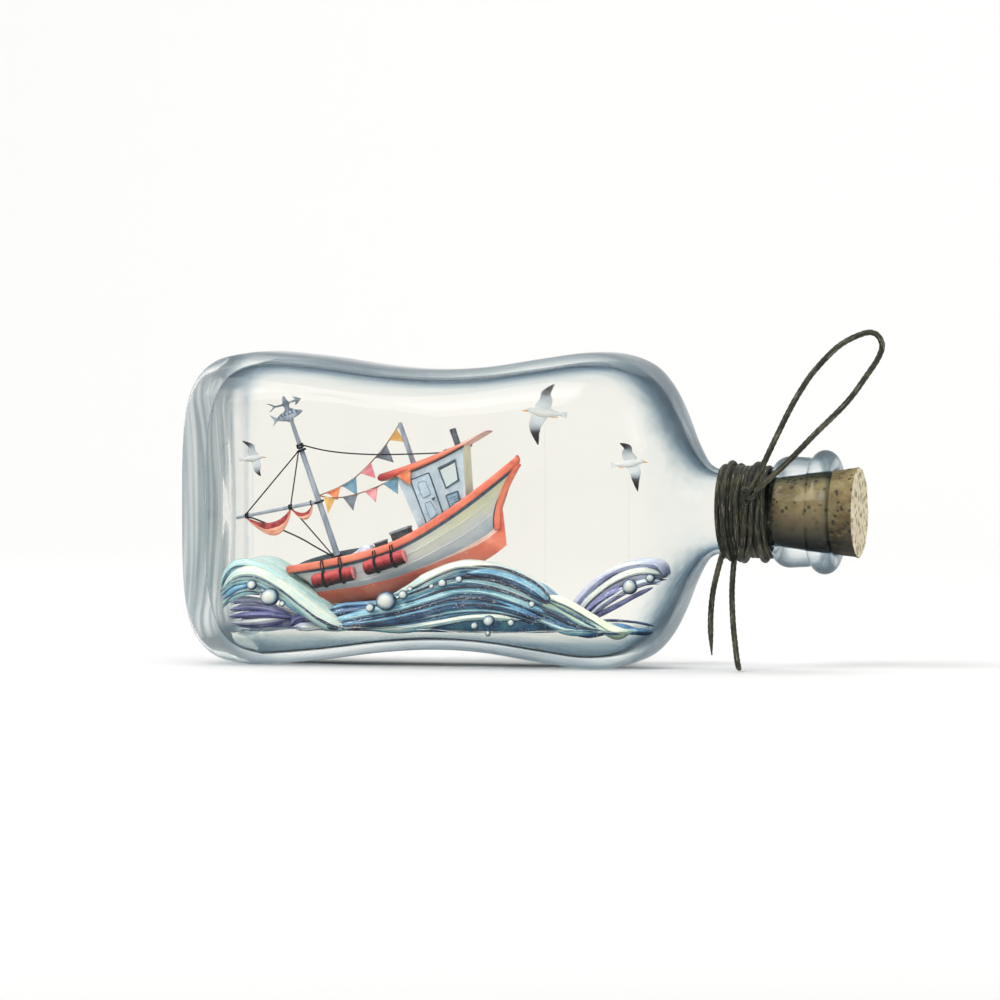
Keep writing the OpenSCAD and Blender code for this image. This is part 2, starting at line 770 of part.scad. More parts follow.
// Pennants: route, leg of the route and place along it
pennant_w = 4.3;
pennant_h = 4.5;
module pennant(route, leg, t) {
    p = curve_at(route, leg, t);
    d = unit(curve_at(route, leg, t + 0.05) - curve_at(route, leg, t - 0.05));
    along = unit([d[0], d[2]]) * pennant_w / 2;
    down = unit([d[2], -d[0]]) * pennant_h;
    mid = [p[0], p[2]];
    afloat() plate([mid - along, mid + down, mid + along], p[1] - 0.15, p[1] + 0.15);
}
module pennants_yellow() {
    color("goldenrod")
        union() {
            pennant(upper_route, 4, 0.42);
            pennant(lower_route, 0, 0.72);
        }
}
module pennants_blue() {
    color("steelblue")
        union() {
            pennant(upper_route, 1, 0.62);
            pennant(lower_route, 4, 0.3);
        }
}
module pennants_pink() {
    color("palevioletred")
        union() {
            pennant(upper_route, 2, 0.72);
            pennant(lower_route, 3, 0.1);
        }
}
module pennants_grey() {
    color("slategray")
        union() {
            pennant(upper_route, 3, 0.7);
            pennant(lower_route, 1, 0.92);
        }
}
module pennants_orange() {
    color("tomato")
        union() {
            pennant(upper_route, 0, 0.75);
            pennant(lower_route, 5, 0.5);
        }
}

// Fenders: two lying cylinders, each slung in two rope loops
fender_y = -10.9;
fender_at = [[7.2, 1.4, -7], [23.8, 0.5, -2]];
fender_len = 13.6;
module fenders() {
    color("firebrick")
        afloat()
            for (f = fender_at)
                translate([f[0], fender_y, f[1]])
                    rotate([0, 90 - f[2], 0])
                        union() {
                            cylinder(h = fender_len - 1, r = fender_r, center = true, $fn = 48);
                            cylinder(h = fender_len, r = fender_r - 0.5, center = true, $fn = 48);
                        }
}
module fender_ropes() {
    color("black")
        afloat()
            for (f = fender_at, d = [-2.8, 2.8]) {
                x = f[0] + d * cos(f[2]);
                z = f[1] + d * sin(f[2]);
                union() {
                    translate([x, fender_y, z])
                        rotate([0, 90 - f[2], 0])
                            ring(fender_r - 0.05, 0.3);
                    translate([x, fender_y + 0.6, z + fender_r])
                        rotate([-28, 0, 0])
                            cylinder(h = sheer(x) - z - fender_r + 1, r = 0.25, $fn = 24);
                }
            }
}

// Deck cargo
module crates() {
    color("darkslategray")
        afloat()
            union() {
                translate([26, -3.4, deck_z(26) - 0.1])
                    cube([5.8, 5, 5]);
                translate([25.8, -3.6, deck_z(26) + 4.1])
                    cube([6.2, 5.4, 0.8]);
                translate([20.4, -3.4, deck_z(23) - 0.1])
                    cube([3.4, 3.4, 3.5]);
            }
}
module tarp() {
    color("lavender")
        afloat()
            plate(smooth([[10.6, 4.9], [12.6, 6.9], [15.6, 8], [18.4, 7.4], [19.6, 4]], 4),
                -4, 3.4);
}

// Gulls: body length, wing tips seen from the front, and the way they face
module gull(size, facing, tip_up, tip_down) {
    b = size / 2;
    mirror([facing < 0 ? 1 : 0, 0, 0])
        union() {
            rotate([0, 84, 0])
                rotate_extrude($fn = 24)
                    polygon([[0, -b], [0.1 * b, -0.8 * b], [0.25 * b, -0.2 * b],
                        [0.24 * b, 0.3 * b], [0.12 * b, 0.75 * b], [0, 1.1 * b]]);
            plate([[-0.15 * b, 0.1 * b], tip_up * b, [0.35 * b, 0.5 * b], [0.3 * b, 0.1 * b]],
                -0.2, 0.2);
            plate([[-0.15 * b, -0.1 * b], [0.3 * b, -0.1 * b], [0.45 * b, -0.5 * b],
                tip_down * b], -0.2, 0.2);
        }
}
gull_at = [[3.4, 6, 76], [28.8, 8, 60.8], [-89.4, 11, 61.4]];
module gull_large() {
    color("white") translate(gull_at[0]) gull(11, -1, [-0.3, 1.6], [0.2, -1.8]);
}
module gull_right() {
    color("white") translate(gull_at[1]) gull(9, 1, [-0.5, 1.4], [0.4, -1.9]);
}
module gull_left() {
    color("white") translate(gull_at[2]) gull(7, 1, [-0.8, 1.6], [0.6, -1.6]);
}
stem_feet = [25, 28.5, 29];
module gull_stems() {
    color([0.9, 0.95, 1, 0.3])
        for (i = [0:2])
            translate([gull_at[i][0], gull_at[i][1], stem_feet[i]])
                cylinder(h = gull_at[i][2] - stem_feet[i] - 1, r = 0.25, $fn = 24);
}

bottle();
cork();
neck_winding();
cord_knot();
hang_loop();
cord_tail_short();
cord_tail_long();
sea_bed();
wave_left_curl();
wave_left_low();
wave_centre();
wave_right_ribbon();
wave_right_back();
bubbles_left();
bubbles_centre();
bubbles_right();
hull();
deck();
gunwale_rail();
stem_post();
wheelhouse();
wheelhouse_roof();
door();
door_knob();
window_frames();
window_panes();
vent_hatch();
funnel();
roof_mast();
aft_mast();
mast_pole();
vane_sleeve();
vane_arrow();
vane_fish();
boom();
sail_large();
sail_small();
masthead_lashing();
boom_lashings();
mast_loops();
topping_lift_outer();
topping_lift_inner();
boom_line_outer();
boom_line_inner();
stay();
bunting_line_upper();
bunting_line_lower();
pennants_yellow();
pennants_blue();
pennants_pink();
pennants_grey();
pennants_orange();
fenders();
fender_ropes();
crates();
tarp();
gull_large();
gull_right();
gull_left();
gull_stems();
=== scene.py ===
import json
import math

import bmesh
import bpy
import numpy as np
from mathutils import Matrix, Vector

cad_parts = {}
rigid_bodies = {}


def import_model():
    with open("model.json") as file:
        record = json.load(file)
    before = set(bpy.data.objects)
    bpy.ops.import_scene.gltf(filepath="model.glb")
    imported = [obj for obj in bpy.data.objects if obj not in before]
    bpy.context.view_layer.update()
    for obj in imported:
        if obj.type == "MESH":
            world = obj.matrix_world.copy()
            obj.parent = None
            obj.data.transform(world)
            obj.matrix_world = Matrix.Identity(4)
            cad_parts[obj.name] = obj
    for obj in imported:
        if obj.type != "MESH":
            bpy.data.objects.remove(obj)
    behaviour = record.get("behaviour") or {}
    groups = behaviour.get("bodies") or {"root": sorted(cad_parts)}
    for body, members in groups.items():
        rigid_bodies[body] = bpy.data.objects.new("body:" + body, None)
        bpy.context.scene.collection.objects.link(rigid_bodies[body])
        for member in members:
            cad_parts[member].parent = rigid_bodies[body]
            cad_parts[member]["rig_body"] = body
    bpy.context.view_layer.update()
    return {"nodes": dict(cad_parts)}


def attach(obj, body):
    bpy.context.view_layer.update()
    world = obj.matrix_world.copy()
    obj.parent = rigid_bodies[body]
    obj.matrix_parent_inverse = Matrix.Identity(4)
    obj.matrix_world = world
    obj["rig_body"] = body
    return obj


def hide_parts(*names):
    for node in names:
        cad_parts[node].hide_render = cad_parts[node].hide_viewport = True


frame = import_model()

MM = 0.001
ROOT, CORK, BOOM, VANE = "bottle_and_scene", "cork", "boom", "vane"
rng = np.random.default_rng(7)

# ---- small tools: every length below is in millimetres until a piece is made ----


def arr(*rows):
    return np.array(rows, float)


def smooth(points, k):
    """A Catmull-Rom curve through the points, with k steps between neighbours."""
    p = np.asarray(points, float)
    n = len(p) - 1
    out = []
    for i in range(n):
        a, b, c, d = p[max(i - 1, 0)], p[i], p[i + 1], p[min(i + 2, n)]
        for j in range(k):
            t = j / k
            out.append(0.5 * (2 * b + (c - a) * t + (2 * a - 5 * b + 4 * c - d) * t * t
                              + (3 * b - a - 3 * c + d) * t ** 3))
    out.append(p[n])
    return np.array(out)


def curve_at(points, leg, t):
    p = np.asarray(points, float)
    n = len(p) - 1
    a, b, c, d = p[max(leg - 1, 0)], p[leg], p[leg + 1], p[min(leg + 2, n)]
    return 0.5 * (2 * b + (c - a) * t + (2 * a - 5 * b + 4 * c - d) * t * t
                  + (3 * b - a - 3 * c + d) * t ** 3)


def even(points, step):
    """The same line with points at an even spacing of about step."""
    p = np.asarray(points, float)
    s = np.concatenate([[0], np.cumsum(np.linalg.norm(np.diff(p, axis=0), axis=1))])
    n = max(2, int(round(s[-1] / step)) + 1)
    at = np.linspace(0, s[-1], n)
    return np.stack([np.interp(at, s, p[:, i]) for i in range(p.shape[1])], 1)


def length_of(points):
    return float(np.linalg.norm(np.diff(np.asarray(points, float), axis=0), axis=1).sum())


def wobble(p, size, seed, octaves=3):
    """Smooth, repeatable noise of about -1 to 1 at points p, with features of the given size."""
    p = np.asarray(p, float)
    g = np.random.default_rng(seed)
    total = np.zeros(p.shape[:-1])
    share = 0
    for o in range(octaves):
        for _ in range(4):
            way = g.normal(size=3)
            way = way / np.linalg.norm(way) * 2 * math.pi / size * 2 ** o * g.uniform(0.6, 1.3)
            total += np.sin(p @ way + g.uniform(0, 6.28)) * 0.5 ** o
        share += 2 * 0.5 ** o
    return total / share


def grid_faces(n, m, closed=True, wrap=False):
    faces = []
    for i in range(n if wrap else n - 1):
        k = (i + 1) % n
        for j in range(m if closed else m - 1):
            l = (j + 1) % m
            faces.append((i * m + j, i * m + l, k * m + l, k * m + j))
    return faces


def skin(rings, ends=True, wrap=False):
    """Vertices and quads over rings of shape (n, m, 3), with a fan to the middle at both ends."""
    rings = np.asarray(rings, float)
    n, m = rings.shape[:2]
    verts = rings.reshape(-1, 3)
    faces = grid_faces(n, m, True, wrap)
    if ends and not wrap:
        verts = np.vstack([verts, rings[0].mean(0), rings[-1].mean(0)])
        a, b = n * m, n * m + 1
        last = (n - 1) * m
        for j in range(m):
            l = (j + 1) % m
            faces.append((a, l, j))
            faces.append((b, last + j, last + l))
    return verts, faces


def frames(route, side=(0, 1, 0)):
    """Two unit directions across a route at each of its points, without twist."""
    route = np.asarray(route, float)
    t = np.gradient(route, axis=0)
    t /= np.linalg.norm(t, axis=1)[:, None]
    p = np.cross(side, t[0])
    if np.linalg.norm(p) < 1e-3:
        p = np.cross((1, 0, 0.3), t[0])
    ps = []
    for d in t:
        p = p - d * (p @ d)
        p /= np.linalg.norm(p)
        ps.append(p)
    ps = np.array(ps)
    return ps, np.cross(t, ps)


def tube_rings(route, radius, sides=12, strands=0, lay=8, depth=0.1, flat=1.0, side=(0, 1, 0)):
    """Rings of a round cord along a route. strands laid at a pitch of lay raise its surface by depth."""
    route = np.asarray(route, float)
    p, q = frames(route, side)
    s = np.concatenate([[0], np.cumsum(np.linalg.norm(np.diff(route, axis=0), axis=1))])
    a = 2 * math.pi * np.arange(sides) / sides
    r = np.broadcast_to(np.asarray(radius, float), (len(route),))[:, None]
    if strands:
        turn = strands * (a[None, :] - 2 * math.pi * s[:, None] / lay)
        r = r * (1 - depth + depth * np.abs(np.cos(turn / 2)))
    return (route[:, None] + (r * np.cos(a))[..., None] * p[:, None]
            + (r * np.sin(a) * flat)[..., None] * q[:, None])


def join(*parts):
    """Several (verts, faces) as one."""
    verts, faces, at = [], [], 0
    for v, f in parts:
        verts.append(v)
        faces += [tuple(i + at for i in face) for face in f]
        at += len(v)
    return np.vstack(verts), faces


def turned_about(outline, sides, centre, axis=(1, 0, 0), up=(0, 0, 1)):
    """Rings turned about an axis through centre from (along, radius) rows."""
    ax, u = np.array(axis, float), np.array(up, float)
    w = np.cross(ax, u)
    a = 2 * math.pi * np.arange(sides) / sides
    spokes = np.cos(a)[:, None] * u + np.sin(a)[:, None] * w
    o = np.asarray(outline, float)
    return np.array(centre) + o[:, 0][:, None, None] * ax + o[:, 1][:, None, None] * spokes[None]


def piece(name, shape, material, stands_for=(), body=ROOT, uv=None, values=None,
          smooth_faces=True, sharp=None, subdivide=0, face_slots=None, inner=()):
    """Makes one named piece from (verts, faces) in millimetres and puts it on its body."""
    verts, faces = shape
    mesh = bpy.data.meshes.new(name)
    mesh.from_pydata((np.asarray(verts) * MM).tolist(), [], [tuple(int(i) for i in f) for f in faces])
    mesh.validate()
    materials = material if isinstance(material, (list, tuple)) else [material]
    for m in materials:
        mesh.materials.append(m)
    if face_slots is not None:
        mesh.polygons.foreach_set("material_index", np.asarray(face_slots, np.int32))
    if uv is not None:
        layer = mesh.uv_layers.new(name="UVMap")
        index = np.zeros(len(mesh.loops), np.int64)
        mesh.loops.foreach_get("vertex_index", index)
        layer.data.foreach_set("uv", np.asarray(uv, np.float32)[index].ravel())
    for key, value in (values or {}).items():
        attribute = mesh.attributes.new(key, "FLOAT", "POINT")
        attribute.data.foreach_set("value", np.asarray(value, np.float32))
    fix = bmesh.new()
    fix.from_mesh(mesh)
    bmesh.ops.recalc_face_normals(fix, faces=fix.faces)
    if len(inner):
        fix.faces.ensure_lookup_table()
        bmesh.ops.reverse_faces(fix, faces=[fix.faces[i] for i in inner])
    fix.to_mesh(mesh)
    fix.free()
    mesh.polygons.foreach_set("use_smooth", [smooth_faces] * len(mesh.polygons))
    if sharp is not None:
        mesh.set_sharp_from_angle(angle=math.radians(sharp))
    obj = bpy.data.objects.new(name, mesh)
    bpy.context.scene.collection.objects.link(obj)
    if subdivide:
        mod = obj.modifiers.new("smooth", "SUBSURF")
        mod.levels = mod.render_levels = subdivide
    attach(obj, body)
    if stands_for:
        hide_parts(*stands_for)
    return obj


def softened(node, material, width, segments=3, name=None, angle=28):
    """A copy of an exact CAD node with its edges rounded, standing for that node."""
    source = frame["nodes"][node]
    mesh = source.data.copy()
    mesh.name = name or node + "_soft"
    mesh.materials.clear()
    mesh.materials.append(material)
    fix = bmesh.new()
    fix.from_mesh(mesh)
    bmesh.ops.remove_doubles(fix, verts=fix.verts, dist=1e-6)
    bmesh.ops.dissolve_limit(fix, angle_limit=math.radians(2), verts=fix.verts, edges=fix.edges)
    for f in fix.faces:
        f.smooth = True
        f.material_index = 0
    fix.to_mesh(mesh)
    fix.free()
    for layer in list(mesh.attributes):
        if layer.name == "custom_normal":
            mesh.attributes.remove(layer)
    obj = bpy.data.objects.new(name or node + "_soft", mesh)
    bpy.context.scene.collection.objects.link(obj)
    bevel = obj.modifiers.new("edge", "BEVEL")
    bevel.width = width * MM
    bevel.segments = segments
    bevel.limit_method = "ANGLE"
    bevel.angle_limit = math.radians(angle)
    bevel.harden_normals = False
    obj.modifiers.new("normals", "WEIGHTED_NORMAL")
    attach(obj, source["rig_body"])
    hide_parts(node)
    return obj


# ---- materials ----


class Tree:
    """A material's nodes, with short ways to add and link them."""

    def __init__(self, name):
        self.mat = bpy.data.materials.new(name)
        self.mat.use_nodes = True
        self.nt = self.mat.node_tree
        self.nt.nodes.clear()
        self.out = self.nt.nodes.new("ShaderNodeOutputMaterial")
        self.coords = self.nt.nodes.new("ShaderNodeTexCoord")

    def add(self, kind, inputs=None, **settings):
        node = self.nt.nodes.new("ShaderNode" + kind)
        for key, value in settings.items():
            setattr(node, key, value)
        for key, value in (inputs or {}).items():
            if isinstance(value, bpy.types.NodeSocket):
                self.nt.links.new(value, node.inputs[key])
            else:
                node.inputs[key].default_value = value
        return node

    def place(self, scale=(1, 1, 1), source="Object"):
        """Coordinates in millimetres, stretched by scale."""
        k = 1000 if source == "Object" else 1
        node = self.add("Mapping", {"Vector": self.coords.outputs[source],
                                    "Scale": tuple(s * k for s in scale)})
        return node.outputs["Vector"]

    def noise(self, vector, scale, detail=4, rough=0.6, distortion=0.0):
        return self.add("TexNoise", {"Vector": vector, "Scale": scale, "Detail": detail,
                                     "Roughness": rough, "Distortion": distortion}).outputs["Fac"]

    def ramp(self, fac, stops, mode="LINEAR"):
        node = self.add("ValToRGB", {"Fac": fac})
        ramp = node.color_ramp
        ramp.interpolation = mode
        while len(ramp.elements) < len(stops):
            ramp.elements.new(0.5)
        for element, (at, colour) in zip(ramp.elements, stops):
            element.position = at
            element.color = (*colour, 1)
        return node.outputs["Color"]

    def math(self, kind, a, b=0.0, clamp=False, c=0.5):
        node = self.add("Math", operation=kind, use_clamp=clamp)
        for i, value in enumerate((a, b, c)):
            if isinstance(value, bpy.types.NodeSocket):
                self.nt.links.new(value, node.inputs[i])
            else:
                node.inputs[i].default_value = value
        return node.outputs[0]

    def mix(self, fac, a, b, mode="MIX"):
        node = self.add("Mix", data_type="RGBA", blend_type=mode)
        for key, value in ((0, fac), (6, a), (7, b)):
            if isinstance(value, bpy.types.NodeSocket):
                self.nt.links.new(value, node.inputs[key])
            elif key == 0:
                node.inputs[key].default_value = value
            else:
                node.inputs[key].default_value = (*value, 1)
        return node.outputs[2]

    def span(self, fac, low, high):
        node = self.add("MapRange", {"Value": fac, "To Min": low, "To Max": high})
        return node.outputs["Result"]

    def bump(self, height, strength, distance):
        return self.add("Bump", {"Height": height, "Strength": strength,
                                 "Distance": distance * MM}).outputs["Normal"]

    def surface(self, **inputs):
        keys = {"color": "Base Color", "rough": "Roughness", "normal": "Normal", "metal": "Metallic",
                "coat": "Coat Weight", "coat_rough": "Coat Roughness", "sheen": "Sheen Weight",
                "through": "Transmission Weight", "ior": "IOR", "spec": "Specular IOR Level",
                "sub": "Subsurface Weight"}
        node = self.add("BsdfPrincipled", {keys[k]: v for k, v in inputs.items()})
        self.nt.links.new(node.outputs[0], self.out.inputs["Surface"])
        return node


def painted(name, stops, size=3.0, rough=(0.35, 0.55), grain=0.3, relief=0.05, stretch=(1, 1, 1),
            coat=0.0, metal=0.0, sheen=0.0, fleck=None, fleck_size=0.5, fleck_share=0.5, spec=0.3):
    """Brushed paint or dyed stuff: a mottled wash of colours, fine grain and small flecks."""
    t = Tree(name)
    at = t.place(stretch)
    wash = t.noise(at, 1 / size, 5, 0.55, 0.6)
    colour = t.ramp(wash, stops)
    fine = t.noise(at, 1 / grain, 3, 0.6)
    colour = t.mix(0.35, colour, t.ramp(fine, [(0.3, (0.55, 0.55, 0.55)), (0.7, (1, 1, 1))]), "MULTIPLY")
    if fleck:
        spots = t.add("TexVoronoi", {"Vector": t.place(), "Scale": 1 / fleck_size}).outputs["Distance"]
        few = t.noise(t.place(), 0.45, 2, 0.5)
        keep = t.math("MULTIPLY", t.math("LESS_THAN", spots, 0.28),
                      t.math("GREATER_THAN", few, 1 - fleck_share))
        colour = t.mix(keep, colour, fleck)
    t.surface(color=colour, rough=t.span(fine, *rough), normal=t.bump(fine, 0.6, relief),
              coat=coat, metal=metal, sheen=sheen, coat_rough=0.15, spec=spec)
    return t.mat


def clear(name, colour, ior=1.47, rough=0.0, shade=(0.93, 0.95, 0.96), ripple=None):
    """Clear glass or resin that bends the view and lets lamps through to what is inside."""
    t = Tree(name)
    normal = {}
    if ripple:
        normal["normal"] = t.bump(t.noise(t.place((0.35, 1, 1)), 1 / ripple[0], 2, 0.4), 0.5, ripple[1])
    glass = t.surface(color=(*colour, 1), rough=rough, through=1.0, ior=ior, **normal)
    lamp = t.add("LightPath").outputs["Is Shadow Ray"]
    open_ = t.add("BsdfTransparent", {"Color": (*shade, 1)})
    both = t.add("MixShader", {0: lamp, 1: glass.outputs[0], 2: open_.outputs[0]})
    t.nt.links.new(both.outputs[0], t.out.inputs["Surface"])
    return t.mat


def let_light_in(t, shader, shade):
    """Lamps shine straight through the glass, so that what is inside is lit."""
    lamp = t.add("LightPath").outputs["Is Shadow Ray"]
    open_ = t.add("BsdfTransparent", {"Color": (*shade, 1)})
    both = t.add("MixShader", {0: lamp, 1: shader.outputs[0], 2: open_.outputs[0]})
    t.nt.links.new(both.outputs[0], t.out.inputs["Surface"])


def bottle_material():
    """Hand-blown glass: clear on its broad sides, painted with blue-grey shade along its rounded edges, its two ends
    and its lip.
    """
    t = Tree("bottle_glass")
    normal = t.add("SeparateXYZ", {"Vector": t.coords.outputs["Normal"]})
    streak = t.noise(t.place((0.12, 1, 1)), 0.30, 2, 0.5, 0.3)
    sway = t.math("MULTIPLY", t.math("SUBTRACT", streak, 0.5), 0.2)
    # painted shade: the glass darkens wherever its face turns away from the broad sides
    level = t.math("ADD", t.math("ABSOLUTE", normal.outputs["Y"]), sway)
    along = t.add("SeparateXYZ", {"Vector": t.place()}).outputs["X"]
    by_neck = t.add("MapRange", {"Value": along, "From Min": 70.0, "From Max": 76.0, "To Max": -0.12})
    edge = t.math("ADD", level, by_neck.outputs["Result"])
    end = t.add("MapRange", {"Value": t.math("ABSOLUTE", normal.outputs["X"]), "From Min": 0.88}).outputs["Result"]
    outer = t.ramp(edge, [(0.0, (0.03, 0.05, 0.068)), (0.18, (0.07, 0.105, 0.13)), (0.34, (0.24, 0.31, 0.35)),
                          (0.48, (0.60, 0.66, 0.68)), (0.62, (0.88, 0.90, 0.89)), (0.9, (0.950, 0.945, 0.915))])
    # painted shade at the bottle's two ends, laid in streaks
    shade_streaks = t.noise(t.place((0.8, 1, 0.05)), 0.20, 2, 0.45, 0.3)
    end_shade = t.ramp(shade_streaks, [(0.34, (0.10, 0.145, 0.175)), (0.50, (0.28, 0.35, 0.39)), (0.66, (0.60, 0.66, 0.68))])
    outer = t.mix(t.math("MULTIPLY", end, 0.75), outer, end_shade)
    inner = t.ramp(level, [(0.0, (0.075, 0.125, 0.175)), (0.22, (0.15, 0.22, 0.29)), (0.42, (0.46, 0.54, 0.60)),
                           (0.60, (0.82, 0.86, 0.86)), (0.80, (0.935, 0.935, 0.91)), (0.95, (0.950, 0.942, 0.910))])
    inner = t.mix(t.math("MULTIPLY", end, 0.9), inner, (0.87, 0.89, 0.89))
    inside = t.add("Attribute", attribute_name="inside").outputs["Fac"]
    colour = t.mix(inside, outer, inner)
    ripple = t.bump(t.noise(t.place((0.35, 1, 1)), 0.09, 2, 0.4), 0.3, 0.25)
    glass = t.surface(color=colour, rough=t.span(streak, 0.0, 0.03), through=1.0, ior=1.02, normal=ripple,
                      coat=0.25, coat_rough=0.02)
    let_light_in(t, glass, (0.97, 0.975, 0.975))
    return t.mat


def resin_material():
    """Clear casting resin, painted with a band of blue-grey shade low down in the bottle."""
    t = Tree("resin")
    height = t.add("SeparateXYZ", {"Vector": t.place((1, 1, 1))}).outputs["Z"]
    drift = t.noise(t.place((0.12, 1, 1)), 0.25, 3, 0.5, 0.4)
    level = t.math("ADD", height, t.math("MULTIPLY", drift, 4.0))
    # painted shade: a blue-grey band low in the resin, pale above and below it
    colour = t.ramp(t.math("MULTIPLY", level, 0.05), [
        (0.28, (0.80, 0.82, 0.80)), (0.36, (0.30, 0.38, 0.43)), (0.48, (0.34, 0.43, 0.48)),
        (0.60, (0.84, 0.86, 0.84)), (0.75, (0.95, 0.95, 0.92))])
    resin = t.surface(color=colour, rough=t.span(drift, 0.0, 0.04), through=1.0, ior=1.04)
    let_light_in(t, resin, (0.96, 0.97, 0.97))
    return t.mat


def bead_material():
    """Blown beads, painted with light and shade: milky white where they face the front, ringed with blue and navy
    where they turn into the wave.
    """
    t = Tree("bubble_glass")
    turn = t.add("SeparateXYZ", {"Vector": t.coords.outputs["Normal"]})
    fine = t.noise(t.place(), 1.1, 3, 0.6, 0.5)
    # painted light and shade: pale where the bead faces the front and a little up, dark where it turns away
    level = t.math("ADD", t.math("MULTIPLY", turn.outputs["Y"], -1.0),
                   t.math("MULTIPLY", turn.outputs["Z"], 0.12))
    level = t.math("ADD", level, t.math("MULTIPLY", t.math("SUBTRACT", fine, 0.5), 0.25))
    colour = t.ramp(level, [(0.30, (0.008, 0.016, 0.04)), (0.52, (0.06, 0.13, 0.24)), (0.66, (0.30, 0.46, 0.58)),
                            (0.80, (0.62, 0.72, 0.76)), (0.93, (0.86, 0.88, 0.82))])
    glass = t.surface(color=colour, rough=t.span(fine, 0.05, 0.18), through=0.3, ior=1.3, coat=0.8,
                      coat_rough=0.04)
    let_light_in(t, glass, (0.5, 0.6, 0.65))
    return t.mat


GLASS = bottle_material()
RESIN = resin_material()
BUBBLE = bead_material()
PANE = clear("pane", (0.88, 0.94, 0.96), 1.2)
ROD = clear("rod", (0.97, 0.985, 1.0), 1.12)

CORAL = painted("coral_paint", [(0.25, (0.62, 0.11, 0.07)), (0.5, (0.80, 0.20, 0.12)),
                                (0.75, (0.88, 0.32, 0.20))], 5, (0.35, 0.5), coat=0.15,
                stretch=(0.5, 1, 1), fleck=(0.97, 0.72, 0.60), fleck_size=0.4, fleck_share=0.32)
def hull_material():
    """Brushed pale topsides, painted with blue-grey shade low down and a little darker again just under the rail, and
    a yellow-green wash along the top of the bow.
    """
    t = Tree("topside_paint")
    at = t.place((0.35, 1, 1))
    wash = t.noise(at, 0.16, 5, 0.55, 0.6)
    up = t.add("Attribute", attribute_name="up").outputs["Fac"]
    fore = t.add("Attribute", attribute_name="fore").outputs["Fac"]
    level = t.math("ADD", up, t.math("MULTIPLY", t.math("SUBTRACT", wash, 0.5), 0.5))
    # painted shade: darker low on the side and again just under the rail
    colour = t.ramp(level, [(0.22, (0.25, 0.30, 0.35)), (0.38, (0.40, 0.45, 0.49)), (0.56, (0.60, 0.62, 0.62)),
                            (0.8, (0.68, 0.69, 0.66)), (0.95, (0.50, 0.54, 0.56))])
    bow = t.math("MULTIPLY", t.ramp(fore, [(0.45, (0, 0, 0)), (0.8, (1, 1, 1))]),
                 t.ramp(level, [(0.60, (0, 0, 0)), (0.80, (1, 1, 1)), (0.93, (0.7, 0.7, 0.7))]))
    colour = t.mix(t.math("MULTIPLY", bow, 0.75), colour, (0.70, 0.70, 0.38))
    grain = t.noise(at, 2.6, 4, 0.65)
    colour = t.mix(0.3, colour, t.ramp(grain, [(0.35, (0.72, 0.74, 0.76)), (0.65, (1, 1, 1))]), "MULTIPLY")
    t.surface(color=colour, rough=t.span(grain, 0.4, 0.6), normal=t.bump(grain, 0.5, 0.06), coat=0.1)
    return t.mat


TOPSIDE = painted("strake_paint", [(0.2, (0.42, 0.47, 0.52)), (0.45, (0.62, 0.66, 0.70)),
                                    (0.7, (0.80, 0.80, 0.78)), (0.85, (0.84, 0.82, 0.68))], 9,
                  (0.4, 0.55), stretch=(0.5, 1, 1.2), coat=0.1)
DECKING = painted("deck_paint", [(0.3, (0.06, 0.08, 0.10)), (0.7, (0.16, 0.19, 0.23))], 2, (0.5, 0.7),
                  stretch=(0.2, 1, 1))
HOUSE = painted("house_paint", [(0.25, (0.34, 0.42, 0.52)), (0.5, (0.47, 0.56, 0.66)),
                                (0.8, (0.64, 0.71, 0.78))], 5, (0.4, 0.55), coat=0.1)
DARK = painted("dark_paint", [(0.3, (0.03, 0.04, 0.055)), (0.7, (0.09, 0.11, 0.14))], 2, (0.35, 0.5))
IRON = painted("dark_metal", [(0.3, (0.06, 0.07, 0.09)), (0.7, (0.17, 0.20, 0.24))], 1.5, (0.3, 0.5),
               metal=0.4)
HATCH = painted("hatch_paint", [(0.3, (0.13, 0.24, 0.34)), (0.7, (0.30, 0.44, 0.56))], 1.5)
MAST = painted("mast_paint", [(0.25, (0.17, 0.21, 0.27)), (0.5, (0.30, 0.35, 0.42)),
                              (0.8, (0.48, 0.53, 0.59))], 2.2, (0.35, 0.55), stretch=(1, 1, 0.15))
ROPE = painted("rigging", [(0.3, (0.002, 0.002, 0.003)), (0.7, (0.012, 0.012, 0.014))], 0.6, (0.5, 0.7),
               grain=0.12, spec=0.12)
SILVER = painted("vane_metal", [(0.3, (0.10, 0.14, 0.18)), (0.55, (0.22, 0.28, 0.33)),
                                (0.8, (0.75, 0.80, 0.83))], 1.2, (0.25, 0.45), metal=0.35)


def fender_material():
    """Red rubber, with painted light and shade: bright along its upper side and near black underneath."""
    t = Tree("fender_rubber")
    at = t.place((1, 1, 1))
    wash = t.noise(at, 0.9, 4, 0.6, 0.4)
    up = t.add("SeparateXYZ", {"Vector": t.coords.outputs["Normal"]}).outputs["Z"]
    # painted light and shade: the colour follows how far each face turns up or down
    level = t.math("ADD", t.math("MULTIPLY_ADD", up, 0.5), t.math("MULTIPLY", t.math("SUBTRACT", wash, 0.5), 0.45))
    colour = t.ramp(level, [(0.15, (0.014, 0.001, 0.002)), (0.38, (0.11, 0.004, 0.007)), (0.62, (0.34, 0.018, 0.025)),
                            (0.85, (0.50, 0.07, 0.075))])
    fine = t.noise(at, 4, 3, 0.6)
    t.surface(color=colour, rough=t.span(fine, 0.35, 0.5), normal=t.bump(fine, 0.5, 0.06), spec=0.25)
    return t.mat


